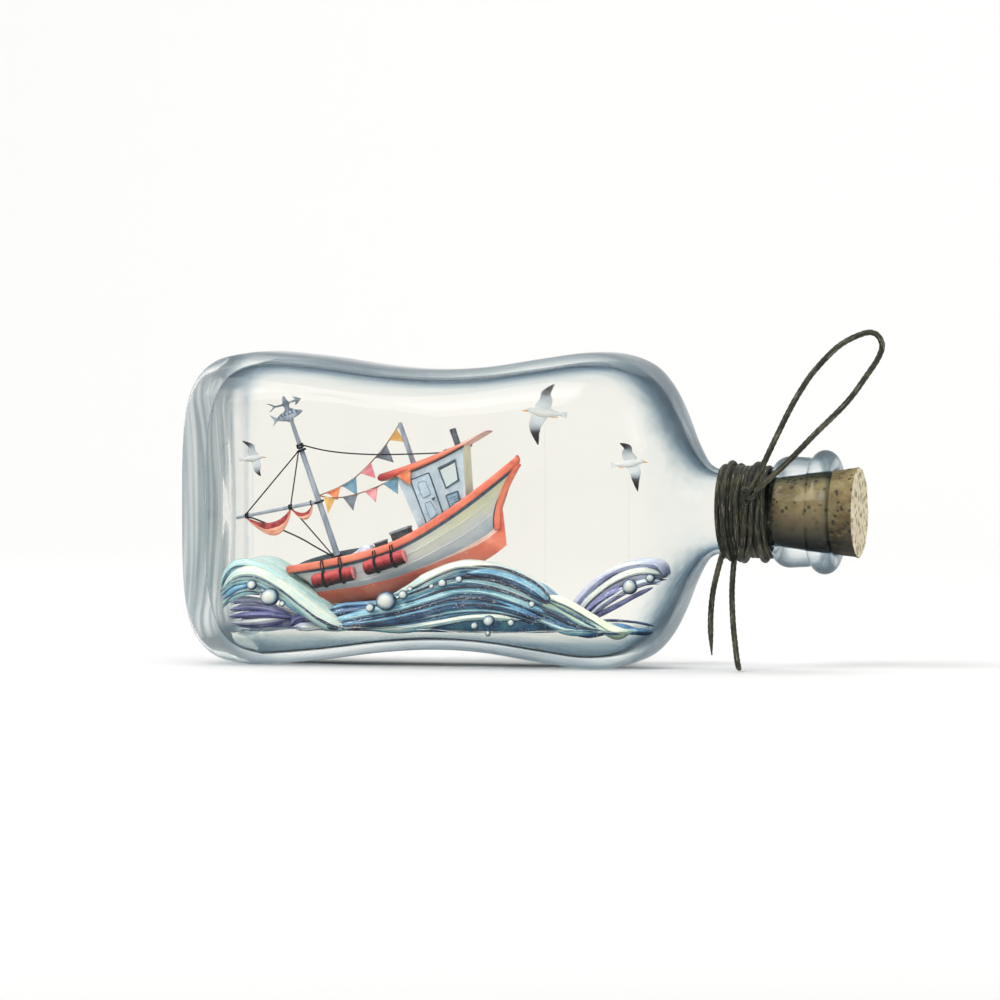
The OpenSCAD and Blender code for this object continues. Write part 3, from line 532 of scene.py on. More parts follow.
FENDER = fender_material()
FENDER_END = painted("fender_end", [(0.3, (0.60, 0.16, 0.18)), (0.7, (0.80, 0.34, 0.34))], 1.2)
CRATE = painted("crate_paint", [(0.3, (0.02, 0.025, 0.03)), (0.7, (0.08, 0.09, 0.10))], 1.5, (0.5, 0.75),
                stretch=(0.3, 1, 1))
CRATE_TOP = painted("crate_top", [(0.3, (0.22, 0.25, 0.28)), (0.7, (0.38, 0.42, 0.46))], 1.5)


def cloth(name, stops, size=2.5, thread=0.16, rough=0.85):
    """Plain-woven cloth: threads both ways in colour and relief, over a soft wash."""
    t = Tree(name)
    at = t.place()
    colour = t.ramp(t.noise(at, 1 / size, 4, 0.5, 0.4), stops)
    warp = t.add("TexWave", {"Vector": at, "Scale": 0.314 / thread, "Distortion": 0.4},
                 wave_type="BANDS", bands_direction="X").outputs["Fac"]
    weft = t.add("TexWave", {"Vector": at, "Scale": 0.314 / thread, "Distortion": 0.4},
                 wave_type="BANDS", bands_direction="Z").outputs["Fac"]
    weave = t.math("MAXIMUM", warp, weft)
    colour = t.mix(0.3, colour, t.ramp(weave, [(0.1, (0.6, 0.6, 0.6)), (0.8, (1, 1, 1))]), "MULTIPLY")
    t.surface(color=colour, rough=rough, normal=t.bump(weave, 0.5, 0.05), sheen=0.3)
    return t.mat


def two_tone(dark, light):
    return [(0.3, dark), (0.7, light)]


YELLOW = cloth("pennant_yellow", two_tone((0.66, 0.33, 0.07), (0.86, 0.58, 0.20)))
BLUE = cloth("pennant_blue", two_tone((0.08, 0.20, 0.32), (0.24, 0.44, 0.56)))
PINK = cloth("pennant_pink", two_tone((0.62, 0.14, 0.19), (0.85, 0.36, 0.38)))
GREY = cloth("pennant_grey", two_tone((0.09, 0.11, 0.14), (0.24, 0.28, 0.33)))
ORANGE = cloth("pennant_orange", two_tone((0.68, 0.14, 0.05), (0.88, 0.32, 0.14)))
# one red sail cloth in a shaded and a lit copy: painted shade and light on the furled sails
SAIL_SHADED = cloth("sail_shaded", [(0.25, (0.07, 0.002, 0.005)), (0.5, (0.28, 0.012, 0.018)),
                                (0.8, (0.62, 0.12, 0.10))], 1.4)
SAIL_LIT = cloth("sail_lit", [(0.3, (0.80, 0.26, 0.17)), (0.7, (0.94, 0.48, 0.33))], 2.5)
TARP = cloth("tarp_cloth", [(0.3, (0.42, 0.45, 0.62)), (0.7, (0.80, 0.81, 0.86))], 3)


def cord_material():
    """Waxed cord: dark olive fibres with paler, browner streaks laid along each turn, partly fibre colour and partly
    painted highlight.
    """
    t = Tree("cord")
    at = t.place()
    along = t.place((0.035, 1, 1), "UV")
    wash = t.noise(at, 0.15, 3, 0.5, 0.5)
    streak = t.noise(along, 5, 4, 0.65)
    colour = t.ramp(wash, [(0.3, (0.009, 0.010, 0.006)), (0.52, (0.026, 0.027, 0.016)),
                           (0.72, (0.080, 0.074, 0.040))])
    # pale streaks along the cord: partly fibre colour, partly painted highlight
    colour = t.mix(t.math("MULTIPLY", t.math("GREATER_THAN", streak, 0.60), 0.6), colour,
                   (0.40, 0.38, 0.27))
    colour = t.mix(t.math("MULTIPLY", t.math("LESS_THAN", streak, 0.42), 0.6), colour,
                   (0.012, 0.012, 0.010))
    fibre = t.noise(t.place((0.3, 1, 1), "UV"), 16, 3, 0.7)
    t.surface(color=colour, rough=t.span(fibre, 0.45, 0.75), normal=t.bump(fibre, 0.6, 0.12), spec=0.3)
    return t.mat


CORD = cord_material()


def cork_material():
    """Natural cork: warm mottling, darker growth marks and pits, with painted shade on its sides that grows near
    black underneath and a paler end face, partly its cut face and partly painted light.
    """
    t = Tree("cork")
    at = t.place()
    wash = t.noise(at, 0.16, 5, 0.6, 0.4)
    colour = t.ramp(wash, [(0.25, (0.26, 0.17, 0.08)), (0.45, (0.48, 0.36, 0.19)),
                           (0.65, (0.70, 0.58, 0.36)), (0.85, (0.82, 0.73, 0.52))])
    cells = t.noise(at, 1.7, 5, 0.7)
    colour = t.mix(0.55, colour, t.ramp(cells, [(0.32, (0.35, 0.28, 0.18)), (0.55, (1, 1, 1))]), "MULTIPLY")
    turn = t.add("SeparateXYZ", {"Vector": t.coords.outputs["Normal"]})
    end = t.math("GREATER_THAN", turn.outputs["X"], 0.8)
    # painted shade: the side darkens towards its underside, and is darker olive than the end face
    side = t.mix(t.ramp(t.math("MULTIPLY_ADD", turn.outputs["Z"], 0.5), [(0.15, (1, 1, 1)), (0.75, (0, 0, 0))]),
                 colour, (0.030, 0.024, 0.013))
    side = t.mix(0.9, side, (0.40, 0.38, 0.24), "MULTIPLY")
    flecks = t.add("TexVoronoi", {"Vector": t.place((1, 1, 1)), "Scale": 0.50}).outputs["Distance"]
    patch = t.noise(at, 0.5, 3, 0.6)
    mark = t.math("MULTIPLY", t.math("LESS_THAN", flecks, 0.30), t.math("GREATER_THAN", patch, 0.47))
    side = t.mix(t.math("MULTIPLY", mark, 0.9), side, (0.018, 0.016, 0.008))
    colour = t.mix(t.math("MULTIPLY", mark, 0.9), colour, (0.10, 0.085, 0.035))
    blot = t.add("TexVoronoi", {"Vector": at, "Scale": 0.36}).outputs["Distance"]
    blot = t.ramp(blot, [(0.28, (1, 1, 1)), (0.44, (0, 0, 0))])
    # the end face is paler: partly the cork's cut face, partly painted light
    cut_and_lit = t.mix(0.55, colour, (0.80, 0.75, 0.58))
    cut_and_lit = t.mix(t.math("MULTIPLY", blot, t.span(patch, 0.4, 1.0)), cut_and_lit, (0.17, 0.14, 0.06))
    colour = t.mix(end, side, cut_and_lit)
    pit = t.add("Attribute", attribute_name="pit").outputs["Fac"]
    colour = t.mix(pit, colour, (0.05, 0.04, 0.02))
    t.surface(color=colour, rough=t.span(cells, 0.6, 0.85), normal=t.bump(cells, 0.7, 0.2))
    return t.mat


CORK_SKIN = cork_material()


def wave_material(name, stops, speck=0.5):
    """Glossy hand-painted water. UV's second axis picks the colour, its first runs along the strand."""
    t = Tree(name)
    uv = t.add("SeparateXYZ", {"Vector": t.coords.outputs["UV"]})
    along = t.place((0.05, 9, 1), "UV")
    lines = t.noise(along, 3.0, 5, 0.65, 0.3)
    broad = t.noise(t.place(), 0.14, 3, 0.5, 0.8)
    tone = t.math("ADD", uv.outputs["Y"], t.math("MULTIPLY", t.math("SUBTRACT", lines, 0.5), 0.75))
    tone = t.math("ADD", tone, t.math("MULTIPLY", t.math("SUBTRACT", broad, 0.5), 0.5), True)
    colour = t.ramp(tone, stops)
    where = t.noise(t.place(), 0.16, 2, 0.5)
    drops = t.add("TexVoronoi", {"Vector": t.place(), "Scale": 1.9}).outputs["Distance"]
    white = t.math("MULTIPLY", t.math("LESS_THAN", drops, 0.24), t.math("GREATER_THAN", where, 1 - speck))
    colour = t.mix(white, colour, (0.86, 0.93, 0.95))
    dots = t.add("TexVoronoi", {"Vector": t.place(), "Scale": 1.4}).outputs["Distance"]
    black = t.math("MULTIPLY", t.math("LESS_THAN", dots, 0.17), t.math("LESS_THAN", where, speck * 0.85))
    colour = t.mix(black, colour, (0.015, 0.025, 0.05))
    t.surface(color=colour, rough=t.span(lines, 0.15, 0.4), normal=t.bump(lines, 0.5, 0.25), coat=0.4,
              coat_rough=0.1)
    return t.mat


NAVY, DEEP, MID = (0.006, 0.014, 0.045), (0.022, 0.075, 0.20), (0.06, 0.21, 0.42)
AQUA, PALE, CREAM = (0.18, 0.46, 0.60), (0.42, 0.68, 0.72), (0.70, 0.75, 0.66)
WAVE_AQUA = wave_material("wave_aqua", [(0.0, CREAM), (0.20, (0.46, 0.66, 0.64)), (0.40, PALE),
                                        (0.6, AQUA), (0.78, MID), (0.92, NAVY)])
WAVE_BLUE = wave_material("wave_blue", [(0.0, CREAM), (0.15, PALE), (0.32, AQUA), (0.52, MID),
                                        (0.72, DEEP), (0.88, NAVY)])
WAVE_VIOLET = wave_material("wave_violet", [(0.0, CREAM), (0.2, (0.62, 0.66, 0.82)),
                                            (0.42, (0.30, 0.32, 0.62)), (0.62, (0.13, 0.14, 0.40)),
                                            (0.82, (0.05, 0.05, 0.20)), (0.95, NAVY)])
WAVE_GREEN = wave_material("wave_green", [(0.0, (0.84, 0.87, 0.72)), (0.25, (0.62, 0.76, 0.52)),
                                          (0.45, (0.46, 0.70, 0.62)), (0.65, AQUA), (0.85, DEEP)])


def feather_material():
    """Gull plumage: white, greyer on the wings, black at the tips, from a value set on the mesh."""
    t = Tree("gull_feathers")
    tone = t.add("Attribute", attribute_name="tone").outputs["Fac"]
    fine = t.noise(t.place(), 1.6, 3, 0.6)
    tone = t.math("ADD", tone, t.math("MULTIPLY", t.math("SUBTRACT", fine, 0.5), 0.16), True)
    colour = t.ramp(tone, [(0.05, (0.80, 0.81, 0.80)), (0.30, (0.64, 0.68, 0.70)), (0.48, (0.32, 0.36, 0.40)),
                           (0.60, (0.05, 0.055, 0.065)), (0.70, (0.008, 0.008, 0.010))])
    t.surface(color=colour, rough=t.span(fine, 0.5, 0.7), normal=t.bump(fine, 0.4, 0.08))
    return t.mat


FEATHER = feather_material()
BEAK = painted("beak", [(0.3, (0.80, 0.34, 0.05)), (0.7, (0.92, 0.55, 0.14))], 0.8)

# ---- camera, lights and floor ----

AZIMUTH, ELEVATION = math.radians(14), math.radians(2)
AIM = Vector((-9.1, 0, 49.8)) * MM
FIELD, AWAY = 0.300, 2.2


def make_camera():
    data = bpy.data.cameras.new("camera")
    data.sensor_width = 36
    data.lens = 36 * AWAY / FIELD
    data.clip_end = 50
    back = Vector((math.sin(AZIMUTH) * math.cos(ELEVATION),
                   -math.cos(AZIMUTH) * math.cos(ELEVATION), math.sin(ELEVATION)))
    obj = bpy.data.objects.new("camera", data)
    obj.location = AIM + back * AWAY
    obj.rotation_mode = "QUATERNION"
    obj.rotation_quaternion = (-back).to_track_quat("-Z", "Y")
    bpy.context.scene.collection.objects.link(obj)
    bpy.context.scene.camera = obj


def area_light(name, place, aim, size, power, colour=(1, 1, 1)):
    data = bpy.data.lights.new(name, "AREA")
    data.shape = "RECTANGLE"
    data.size, data.size_y = size
    data.energy = power
    data.color = colour
    obj = bpy.data.objects.new(name, data)
    obj.location = place
    obj.rotation_mode = "QUATERNION"
    obj.rotation_quaternion = (Vector(aim) - Vector(place)).to_track_quat("-Z", "Y")
    bpy.context.scene.collection.objects.link(obj)


def make_studio():
    """A pale floor that curves up into a back wall, soft white light all round and two soft boxes."""
    half, back, bend, tall = 3.0, 1.6, 0.8, 2.6
    line = [(-half, 0), (back - bend, 0)]
    line += [(back - bend + bend * math.sin(a), bend - bend * math.cos(a))
             for a in np.linspace(0.1, math.pi / 2, 14)]
    line += [(back, tall)]
    verts = [(x, y, z) for x in (-half, half) for y, z in line]
    n = len(line)
    faces = [(i, i + 1, n + i + 1, n + i) for i in range(n - 1)]
    mesh = bpy.data.meshes.new("floor")
    mesh.from_pydata(verts, [], faces)
    mesh.polygons.foreach_set("use_smooth", [True] * len(mesh.polygons))
    t = Tree("floor")
    t.surface(color=(0.86, 0.86, 0.85, 1), rough=0.8, spec=0.1)
    mesh.materials.append(t.mat)
    floor = bpy.data.objects.new("floor", mesh)
    bpy.context.scene.collection.objects.link(floor)
    world = bpy.data.worlds.new("world")
    world.use_nodes = True
    world.node_tree.nodes["Background"].inputs["Color"].default_value = (1, 1, 1, 1)
    world.node_tree.nodes["Background"].inputs["Strength"].default_value = 0.72
    bpy.context.scene.world = world
    area_light("key", (-0.55, -0.7, 0.95), (0, 0, 0.05), (0.7, 0.5), 8)
    area_light("fill", (0.9, -0.6, 0.5), (0, 0, 0.05), (0.5, 0.5), 2.2)
    area_light("wall_wash", (0, 0.5, 1.9), (0, 1.6, 0.5), (2.4, 0.5), 12)
    bpy.context.scene.view_settings.view_transform = "Standard"
    bpy.context.scene.view_settings.look = "None"


make_camera()
make_studio()

# ---- cords ----

CORD_D = 1.8
LOOP_ROUTE = [
    [70.4, -15, 53], [73.7, -14.8, 59.4], [77.8, -13.5, 68.5], [82.1, -12, 77.7],
    [85.6, -11, 84], [89.3, -10, 89.4], [96.3, -8.5, 96.6], [103.4, -7, 100.2],
    [107, -6.6, 99.9], [108.7, -6.5, 96.8], [107.6, -6.6, 93], [104.3, -7, 87.9],
    [98.4, -8, 79.8], [89.3, -10, 70.5], [82.4, -12.6, 63], [77, -15.2, 57.6],
    [72.4, -16, 53.6]]
SHORT_ROUTE = [
    [60, -4, 34.4], [58.6, -4.5, 29], [57.5, -5, 23.7], [56.9, -5.3, 18],
    [56.8, -5.5, 12], [57.2, -5.6, 4.4]]
LONG_ROUTE = [
    [63.8, -4, 34.4], [63.4, -5, 28], [63.4, -6, 22], [64, -7.2, 14],
    [65, -8.4, 7], [65.9, -10, 2.8], [66.8, -12.2, 1.2], [67.5, -14.2, 0.95],
    [68.2, -16.4, 0.95]]


def cord_uv(rings):
    """Along the cord in millimetres, and from 0 to 1 and back around it, with the end points added."""
    n, m = rings.shape[:2]
    s = np.concatenate([[0], np.cumsum(np.linalg.norm(np.diff(rings.mean(1), axis=0), axis=1))])
    around = 1 - np.abs(2 * np.arange(m) / m - 1)
    uv = np.stack(np.broadcast_arrays(s[:, None], around[None, :] * 2), -1).reshape(-1, 2)
    return np.vstack([uv, [[0, 0], [s[-1], 0]]])


def free_cord(name, route, node, tip=None):
    route = even(smooth(route, 8), 0.35)
    radius = np.full(len(route), CORD_D / 2)
    if tip:
        s = np.linspace(0, length_of(route), len(route))
        radius *= np.clip((s[-1] - s) / tip, 0.12, 1) ** 0.6
    rings = tube_rings(route, radius, 18, 3, 5.5, 0.14)
    obj = piece(name, skin(rings), CORD, (node,), uv=cord_uv(rings))
    return obj


free_cord("hanging_loop", LOOP_ROUTE, "hang_loop")
free_cord("short_tail", SHORT_ROUTE, "cord_tail_short", 7)
free_cord("long_tail", LONG_ROUTE, "cord_tail_long", 5)

# ---- bottle ----

AXIS_Z, HALF_H, HALF_D, WALL = 47, 47.3, 30, 3.5
NECK_R, NECK_BORE, COLLAR_R, COLLAR_X = 12, 10.2, 16.6, 75.2
LIP_X, LIP_BEAD, LIP_CIRCLE = 90.4, 3.75, 14.75
CORK_R, CORK_TAPER, CORK_GAP, HALF_LENGTH, CORK_LENGTH = 13.6, 0.14, 0.05, 101, 25
SHELL = arr(
    [-98.8, 0.30, 0.34, 2.6], [-100, 0.54, 0.62, 3], [-101, 0.70, 0.82, 3.4],
    [-100.2, 0.805, 0.90, 3.7], [-97.5, 0.895, 0.955, 3.9], [-93, 0.96, 0.985, 4],
    [-86, 0.993, 0.997, 4], [-79, 1, 1, 4], [-62, 0.968, 0.987, 4],
    [-44, 0.914, 0.973, 4], [-28, 0.893, 0.967, 4], [-12, 0.91, 0.973, 4],
    [6, 0.965, 0.987, 4], [19, 1, 1, 4], [28, 0.99, 0.993, 4],
    [36, 0.928, 0.953, 3.8], [41.5, 0.818, 0.87, 3.4], [46, 0.66, 0.74, 3],
    [50, 0.475, 0.59, 2.6], [54, 0.325, 0.47, 2.2], [57.2, 0.261, 0.411, 2],
    [60, 0.24, 0.378, 2])
AIR = arr(
    [-94.4, 0.32, 0.36, 2.6], [-95.2, 0.62, 0.71, 3], [-94.3, 0.775, 0.865, 3.4],
    [-91.6, 0.89, 0.95, 3.7], [-87.5, 0.96, 0.985, 3.9], [-82, 0.995, 0.997, 4],
    [-78, 1, 1, 4], [-62, 0.968, 0.987, 4], [-44, 0.914, 0.973, 4],
    [-28, 0.893, 0.967, 4], [-12, 0.91, 0.973, 4], [6, 0.965, 0.987, 4],
    [18, 1, 1, 4], [27, 0.985, 0.99, 4], [33.6, 0.925, 0.95, 3.8],
    [38.7, 0.818, 0.87, 3.4], [43.2, 0.66, 0.74, 3], [47.6, 0.475, 0.60, 2.6],
    [52, 0.335, 0.485, 2.2], [56, 0.26, 0.424, 2], [60, 0.23, 0.37, 2])
RING = 128


def softmax(a, b, k):
    return 0.5 * (a + b + np.sqrt((a - b) ** 2 + k * k))


def shell_rows(stations, h, d, least, k=8):
    """Rows of x, half height, half depth and squareness, never narrower than the neck."""
    rows = smooth(stations, k) * np.array([1, h, d, 1])
    neck = rows[:, 0] > 20
    for col in (1, 2):
        rows[neck, col] = softmax(rows[neck, col], least, 1.6)
    return rows


def superellipse(rows, m):
    a = 2 * math.pi * (np.arange(m) + 0.5) / m
    c, s = np.cos(a), np.sin(a)
    e = 2 / rows[:, 3][:, None]
    y = rows[:, 2][:, None] * np.sign(c) * np.abs(c) ** e
    z = rows[:, 1][:, None] * np.sign(s) * np.abs(s) ** e
    return np.stack([np.broadcast_to(rows[:, 0][:, None], y.shape), y, AXIS_Z + z], -1)


def resampled(rings, m):
    """Each ring with its points moved to an even spacing, so that square corners aren't starved."""
    out = []
    for ring in rings:
        loop = np.vstack([ring, ring[:1]])
        s = np.concatenate([[0], np.cumsum(np.linalg.norm(np.diff(loop, axis=0), axis=1))])
        at = np.linspace(0, s[-1], m + 1)[:-1]
        out.append(np.stack([np.interp(at, s, loop[:, i]) for i in range(3)], 1))
    return np.array(out)


def round_rows(points):
    p = np.asarray(points, float)
    return np.stack([p[:, 0], p[:, 1], p[:, 1], np.full(len(p), 2.0)], 1)


def dome(first, steps=7, sink=1.0):
    """Rows that close an end smoothly towards its middle, from a station inwards."""
    x, h, d, e = first
    return np.array([[x + sink * (1 - f ** 2), h * f, d * f, 2 + (e - 2) * f]
                     for f in np.linspace(0.02, 0.93, steps)])


def bottle_rows():
    outer = shell_rows(SHELL, HALF_H, HALF_D, NECK_R)
    outer = np.vstack([dome(outer[0]), outer])
    profile = [[x, NECK_R] for x in np.arange(61, COLLAR_X - 0.6, 1.0)]
    profile += [[COLLAR_X - 0.3, NECK_R + 0.06], [COLLAR_X, NECK_R + 0.45]]
    profile += [[COLLAR_X + 4.8 + 4.8 * math.sin(a), COLLAR_R - 4 + 4 * math.cos(a)]
                for a in np.radians(np.arange(-72, 1, 8))]
    profile += [[x, COLLAR_R - 0.4 * (x - 80) / 6.4] for x in (81.5, 83, 84.5, 85.6)]
    profile += [[86.5, 16.0], [87.0, 16.15]]
    profile += [[LIP_X + LIP_BEAD * math.sin(a), LIP_CIRCLE + LIP_BEAD * math.cos(a)]
                for a in np.radians(np.arange(-52, 121, 8))]
    mouth = HALF_LENGTH - (CORK_R + CORK_GAP - NECK_BORE) / CORK_TAPER
    profile += [[x, CORK_R + CORK_GAP - CORK_TAPER * (HALF_LENGTH - x)]
                for x in np.linspace(93.4, mouth + 0.4, 16)]
    profile += [[x, NECK_BORE] for x in np.arange(mouth - 0.6, 61, -1.2)]
    inner = shell_rows(AIR, HALF_H - WALL, HALF_D - WALL, NECK_BORE)[::-1]
    inner = np.vstack([inner, dome(inner[-1], sink=0.8)[::-1]])
    return np.vstack([outer, round_rows(profile), inner]), len(outer) + len(profile)


def make_bottle():
    rows, _ = bottle_rows()
    rings = resampled(superellipse(rows, 3 * RING), RING)
    rings = rings.copy()
    rings[:, :, 2] = np.maximum(rings[:, :, 2], 0.03)
    wave = wobble(rings, 42, 3, 2)
    body = np.clip((52 - rings[..., 0]) / 12, 0, 1)
    middle = np.stack([rings[..., 0], np.zeros_like(wave), np.full_like(wave, AXIS_Z)], -1)
    way = middle - rings
    way /= np.linalg.norm(way, axis=-1, keepdims=True) + 1e-9
    rings += way * (0.16 * (wave + 1) * body)[..., None]
    shape = skin(rings)
    inside = np.repeat((np.arange(len(rings)) >= bottle_rows()[1]).astype(float), RING)
    piece("glass_bottle", shape, GLASS, ("bottle",),
          values={"inside": np.concatenate([inside, [0, 1]])})


make_bottle()


def outer_r(x):
    """Outer radius of the neck's glass at x, where it is round."""
    rows, n = bottle_rows()
    outer = rows[:n + 14]
    keep = outer[:, 0] > 40
    order = np.argsort(outer[keep, 0])
    return float(np.interp(x, outer[keep, 0][order], outer[keep, 1][order]))

# ---- cord around the neck, and its knot ----

WIND_X0, WIND_X1, TURNS = 59.3, 74.2, 11


def neck_r(x):
    return np.where(x < 62, 12 + 0.4 * np.clip((62 - x) / 3, 0, 1) ** 2, 12.0)


def make_winding():
    per = 90
    n = TURNS * per
    a = np.linspace(0, TURNS, n)
    x = WIND_X0 + (WIND_X1 - WIND_X0) * a / TURNS + 0.12 * np.sin(a * 2.3) + 0.08 * np.sin(a * 7.1)
    lift = 0.10 + 0.10 * np.sin(a * 1.7 + 1) + 0.07 * np.sin(a * 5.3)
    r = neck_r(x) + CORD_D / 2 + lift
    turn = -2 * math.pi * a + math.pi
    first = np.stack([x, r * np.sin(turn), AXIS_Z + r * np.cos(turn)], 1)
    parts, uvs = [], []

    def add(route, radius):
        rings = tube_rings(route, radius, 14, 3, 5.5, 0.16)
        parts.append(skin(rings))
        uvs.append(cord_uv(rings))

    add(first, CORD_D / 2 * 1.0)
    # looser turns that ride over the first layer
    for start, stop, x0, x1, up in ((0.5, 1.75, 60.6, 63.4, 1.05), (2.1, 3.0, 66.2, 64.9, 1.15),
                                    (0.2, 1.1, 72.6, 70.2, 1.1)):
        b = np.linspace(start, stop, 110)
        f = (b - start) / (stop - start)
        rr = neck_r(60) + CORD_D / 2 + up * np.sin(np.pi * f) ** 0.35 * 1.35
        t = -2 * math.pi * b
        add(np.stack([x0 + (x1 - x0) * f + 0.5 * np.sin(f * 5), rr * np.sin(t), AXIS_Z + rr * np.cos(t)], 1),
            CORD_D / 2 * 0.95)
    # strands that lead from the knot down across the front of the turns, and end under them
    for dx, spread, tone in ((-0.6, 0.0, 0), (0.9, 0.55, 1), (0.1, -0.9, 2)):
        t = np.radians(np.linspace(64, 178, 40))
        f = np.linspace(0, 1, 40)
        rr = 12.9 + 1.55 * np.minimum(1, np.minimum(f, 1 - f) * 5 + 0.45) + 0.25 * np.sin(f * 9 + tone)
        xs = 70 + dx + spread * np.sin(f * 3.1) - (5 + tone) * f ** 2.2
        add(np.stack([xs, -rr * np.sin(t), AXIS_Z + rr * np.cos(t)], 1), CORD_D / 2 * 0.9)
    piece("cord_turns", join(*parts), CORD, ("neck_winding",), uv=np.vstack(uvs))


def make_knot():
    t = np.linspace(0, 2 * math.pi, 120, endpoint=False)
    p = np.stack([(np.sin(t) + 1.7 * np.sin(2 * t)) * 0.78, -np.sin(3 * t) * 0.62,
                  (np.cos(t) - 1.7 * np.cos(2 * t)) * 0.86], 1)
    p = np.vstack([p, p[:1]])
    turn = math.radians(25)
    x, z = p[:, 0] * math.cos(turn) + p[:, 2] * math.sin(turn), p[:, 2] * math.cos(turn) - p[:, 0] * math.sin(turn)
    route = np.stack([70 + x, -14.9 + p[:, 1], 52.2 + z], 1)
    rings = tube_rings(route, 0.88, 14, 3, 5.5, 0.16)
    piece("knot", skin(rings), CORD, ("cord_knot",), uv=cord_uv(rings))


make_winding()
make_knot()

# ---- cork ----


def make_cork():
    x_in, sides = HALF_LENGTH - CORK_LENGTH, 200
    r_out, r_in = CORK_R, CORK_R - CORK_TAPER * CORK_LENGTH
    rows = [[x_in, r] for r in np.linspace(0.4, r_in - 0.6, 12)]
    rows += [[x_in + 0.12, r_in - 0.3], [x_in + 0.5, r_in]]
    rows += [[x, CORK_R - CORK_TAPER * (HALF_LENGTH - x)] for x in np.linspace(x_in + 1, HALF_LENGTH - 0.9, 60)]
    rows += [[HALF_LENGTH - 0.45, r_out - 0.12], [HALF_LENGTH - 0.15, r_out - 0.4], [HALF_LENGTH - 0.02, r_out - 0.8]]
    rows += [[HALF_LENGTH, r] for r in np.linspace(r_out - 1.3, 0.4, 34)]
    rings = turned_about(rows, sides, (0, 0, AXIS_Z))
    verts, faces = skin(rings)
    centre = np.array([0, 0, AXIS_Z])
    radial = verts - centre
    radial[:, 0] = 0
    rad = np.linalg.norm(radial, axis=1)[:, None] + 1e-9
    end = verts[:, 0] > HALF_LENGTH - 0.5
    normal = np.where(end[:, None], np.array([1.0, 0, 0]), radial / rad)
    out = verts[:, 0] > 93.9
    rough = 0.10 * wobble(verts, 5, 11, 4) + 0.07 * wobble(verts, 1.6, 12, 3)
    pit = np.zeros(len(verts))
    g = np.random.default_rng(21)
    for _ in range(95):
        if g.random() < 0.42:
            r, a = 12.8 * math.sqrt(g.random()), g.uniform(0, 6.28)
            c = np.array([HALF_LENGTH, r * math.cos(a), AXIS_Z + r * math.sin(a)])
        else:
            x = g.uniform(80, 100.5)
            r, a = CORK_R - CORK_TAPER * (HALF_LENGTH - x), g.uniform(0, 6.28)
            c = np.array([x, r * math.cos(a), AXIS_Z + r * math.sin(a)])
        size = g.uniform(0.28, 0.85)
        d = (verts - c) / np.array([size * g.uniform(0.8, 1.8), size, size * g.uniform(0.8, 1.5)])
        pit = np.maximum(pit, np.exp(-1.2 * (d ** 2).sum(1) ** 1.5) * g.uniform(0.6, 1))
    inside = np.where(out, 1.0, 0.25)
    move = (rough - 0.16) * inside - 0.55 * pit * np.where(out, 1, 0.3)
    verts = verts + normal * np.minimum(move, np.where(out, 0.12, 0.0))[:, None]
    dark = np.clip(pit * 1.25 - 0.1 + 0.25 * (wobble(verts, 3, 31, 3) > 0.55), 0, 1)
    piece("cork_stopper", (verts, faces), CORK_SKIN, ("cork",), CORK, values={"pit": dark})


make_cork()

# ---- sea ----

BED_Z = 11.5


def strand_shape(points, radius, tone, flat=1.25, tip=(0.22, 0.14), sides=14, swing=0.16, seed=0):
    """One swept strand of water with tapered ends. Its upper side is painted paler and its underside darker: painted
    light and shade.
    """
    route = even(smooth(points, 10), 0.55)
    f = np.linspace(0, 1, len(route))
    shape = np.clip(f / tip[0], 0.04, 1) ** 0.7 * np.clip((1 - f) / tip[1], 0.05, 1) ** 0.6
    r = radius * shape * (1 + 0.10 * np.sin(f * 9 + seed))
    rings = tube_rings(route, r, sides, flat=1.0, side=(0, 1, 0))
    middle = rings.mean(1, keepdims=True)
    rings = middle + (rings - middle) * np.array([1, 1 / flat, 1])
    up = rings[..., 2] - middle[..., 2]
    up = up / (np.abs(up).max(1, keepdims=True) + 1e-6)
    s = np.concatenate([[0], np.cumsum(np.linalg.norm(np.diff(route, axis=0), axis=1))]) + seed * 37
    # painted light and shade: the colour runs paler towards the top of each ring and darker towards its underside
    v = tone - swing * up + 0.30 * np.clip(1 - shape[:, None], 0, 1) ** 2
    uv = np.stack(np.broadcast_arrays(s[:, None], v), -1).reshape(-1, 2)
    uv = np.vstack([uv, [[s[0], tone + 0.3], [s[-1], tone + 0.3]]])
    return skin(rings), uv


def strands(rows, y, spread=0.0):
    """Many strands: each row is x-z points, radius, tone and an offset in depth."""
    shapes, uvs = [], []
    for i, (points, radius, tone, back) in enumerate(rows):
        p = np.array([[x, y + back + spread * math.sin(0.13 * x + i), max(z, BED_Z - 0.2)] for x, z in points])
        shape, uv = strand_shape(p, radius, tone, seed=i)
        shapes.append(shape)
        uvs.append(uv)
        if radius > 0.85:
            # a dark line below each strand and another low on its face, both painted shade, and a thin paler ridge
            # along its face, a painted highlight
            for drop, out, r, shade in ((0.86, 0.30, 0.26, 0.99), (-0.10, 0.84, 0.22, tone - 0.18),
                                        (0.34, 0.80, 0.16, 0.90)):
                if r < 0.2 and radius < 1.4:
                    continue
                line = p + np.array([0, -out * radius, -drop * radius / 1.25])
                line[:, 2] = np.maximum(line[:, 2], BED_Z)
                shape, uv = strand_shape(line, r + 0.03 * radius, shade, sides=8, swing=0.05, seed=i + 0.5)
                shapes.append(shape)
                uvs.append(uv)
    return join(*shapes), np.vstack(uvs)


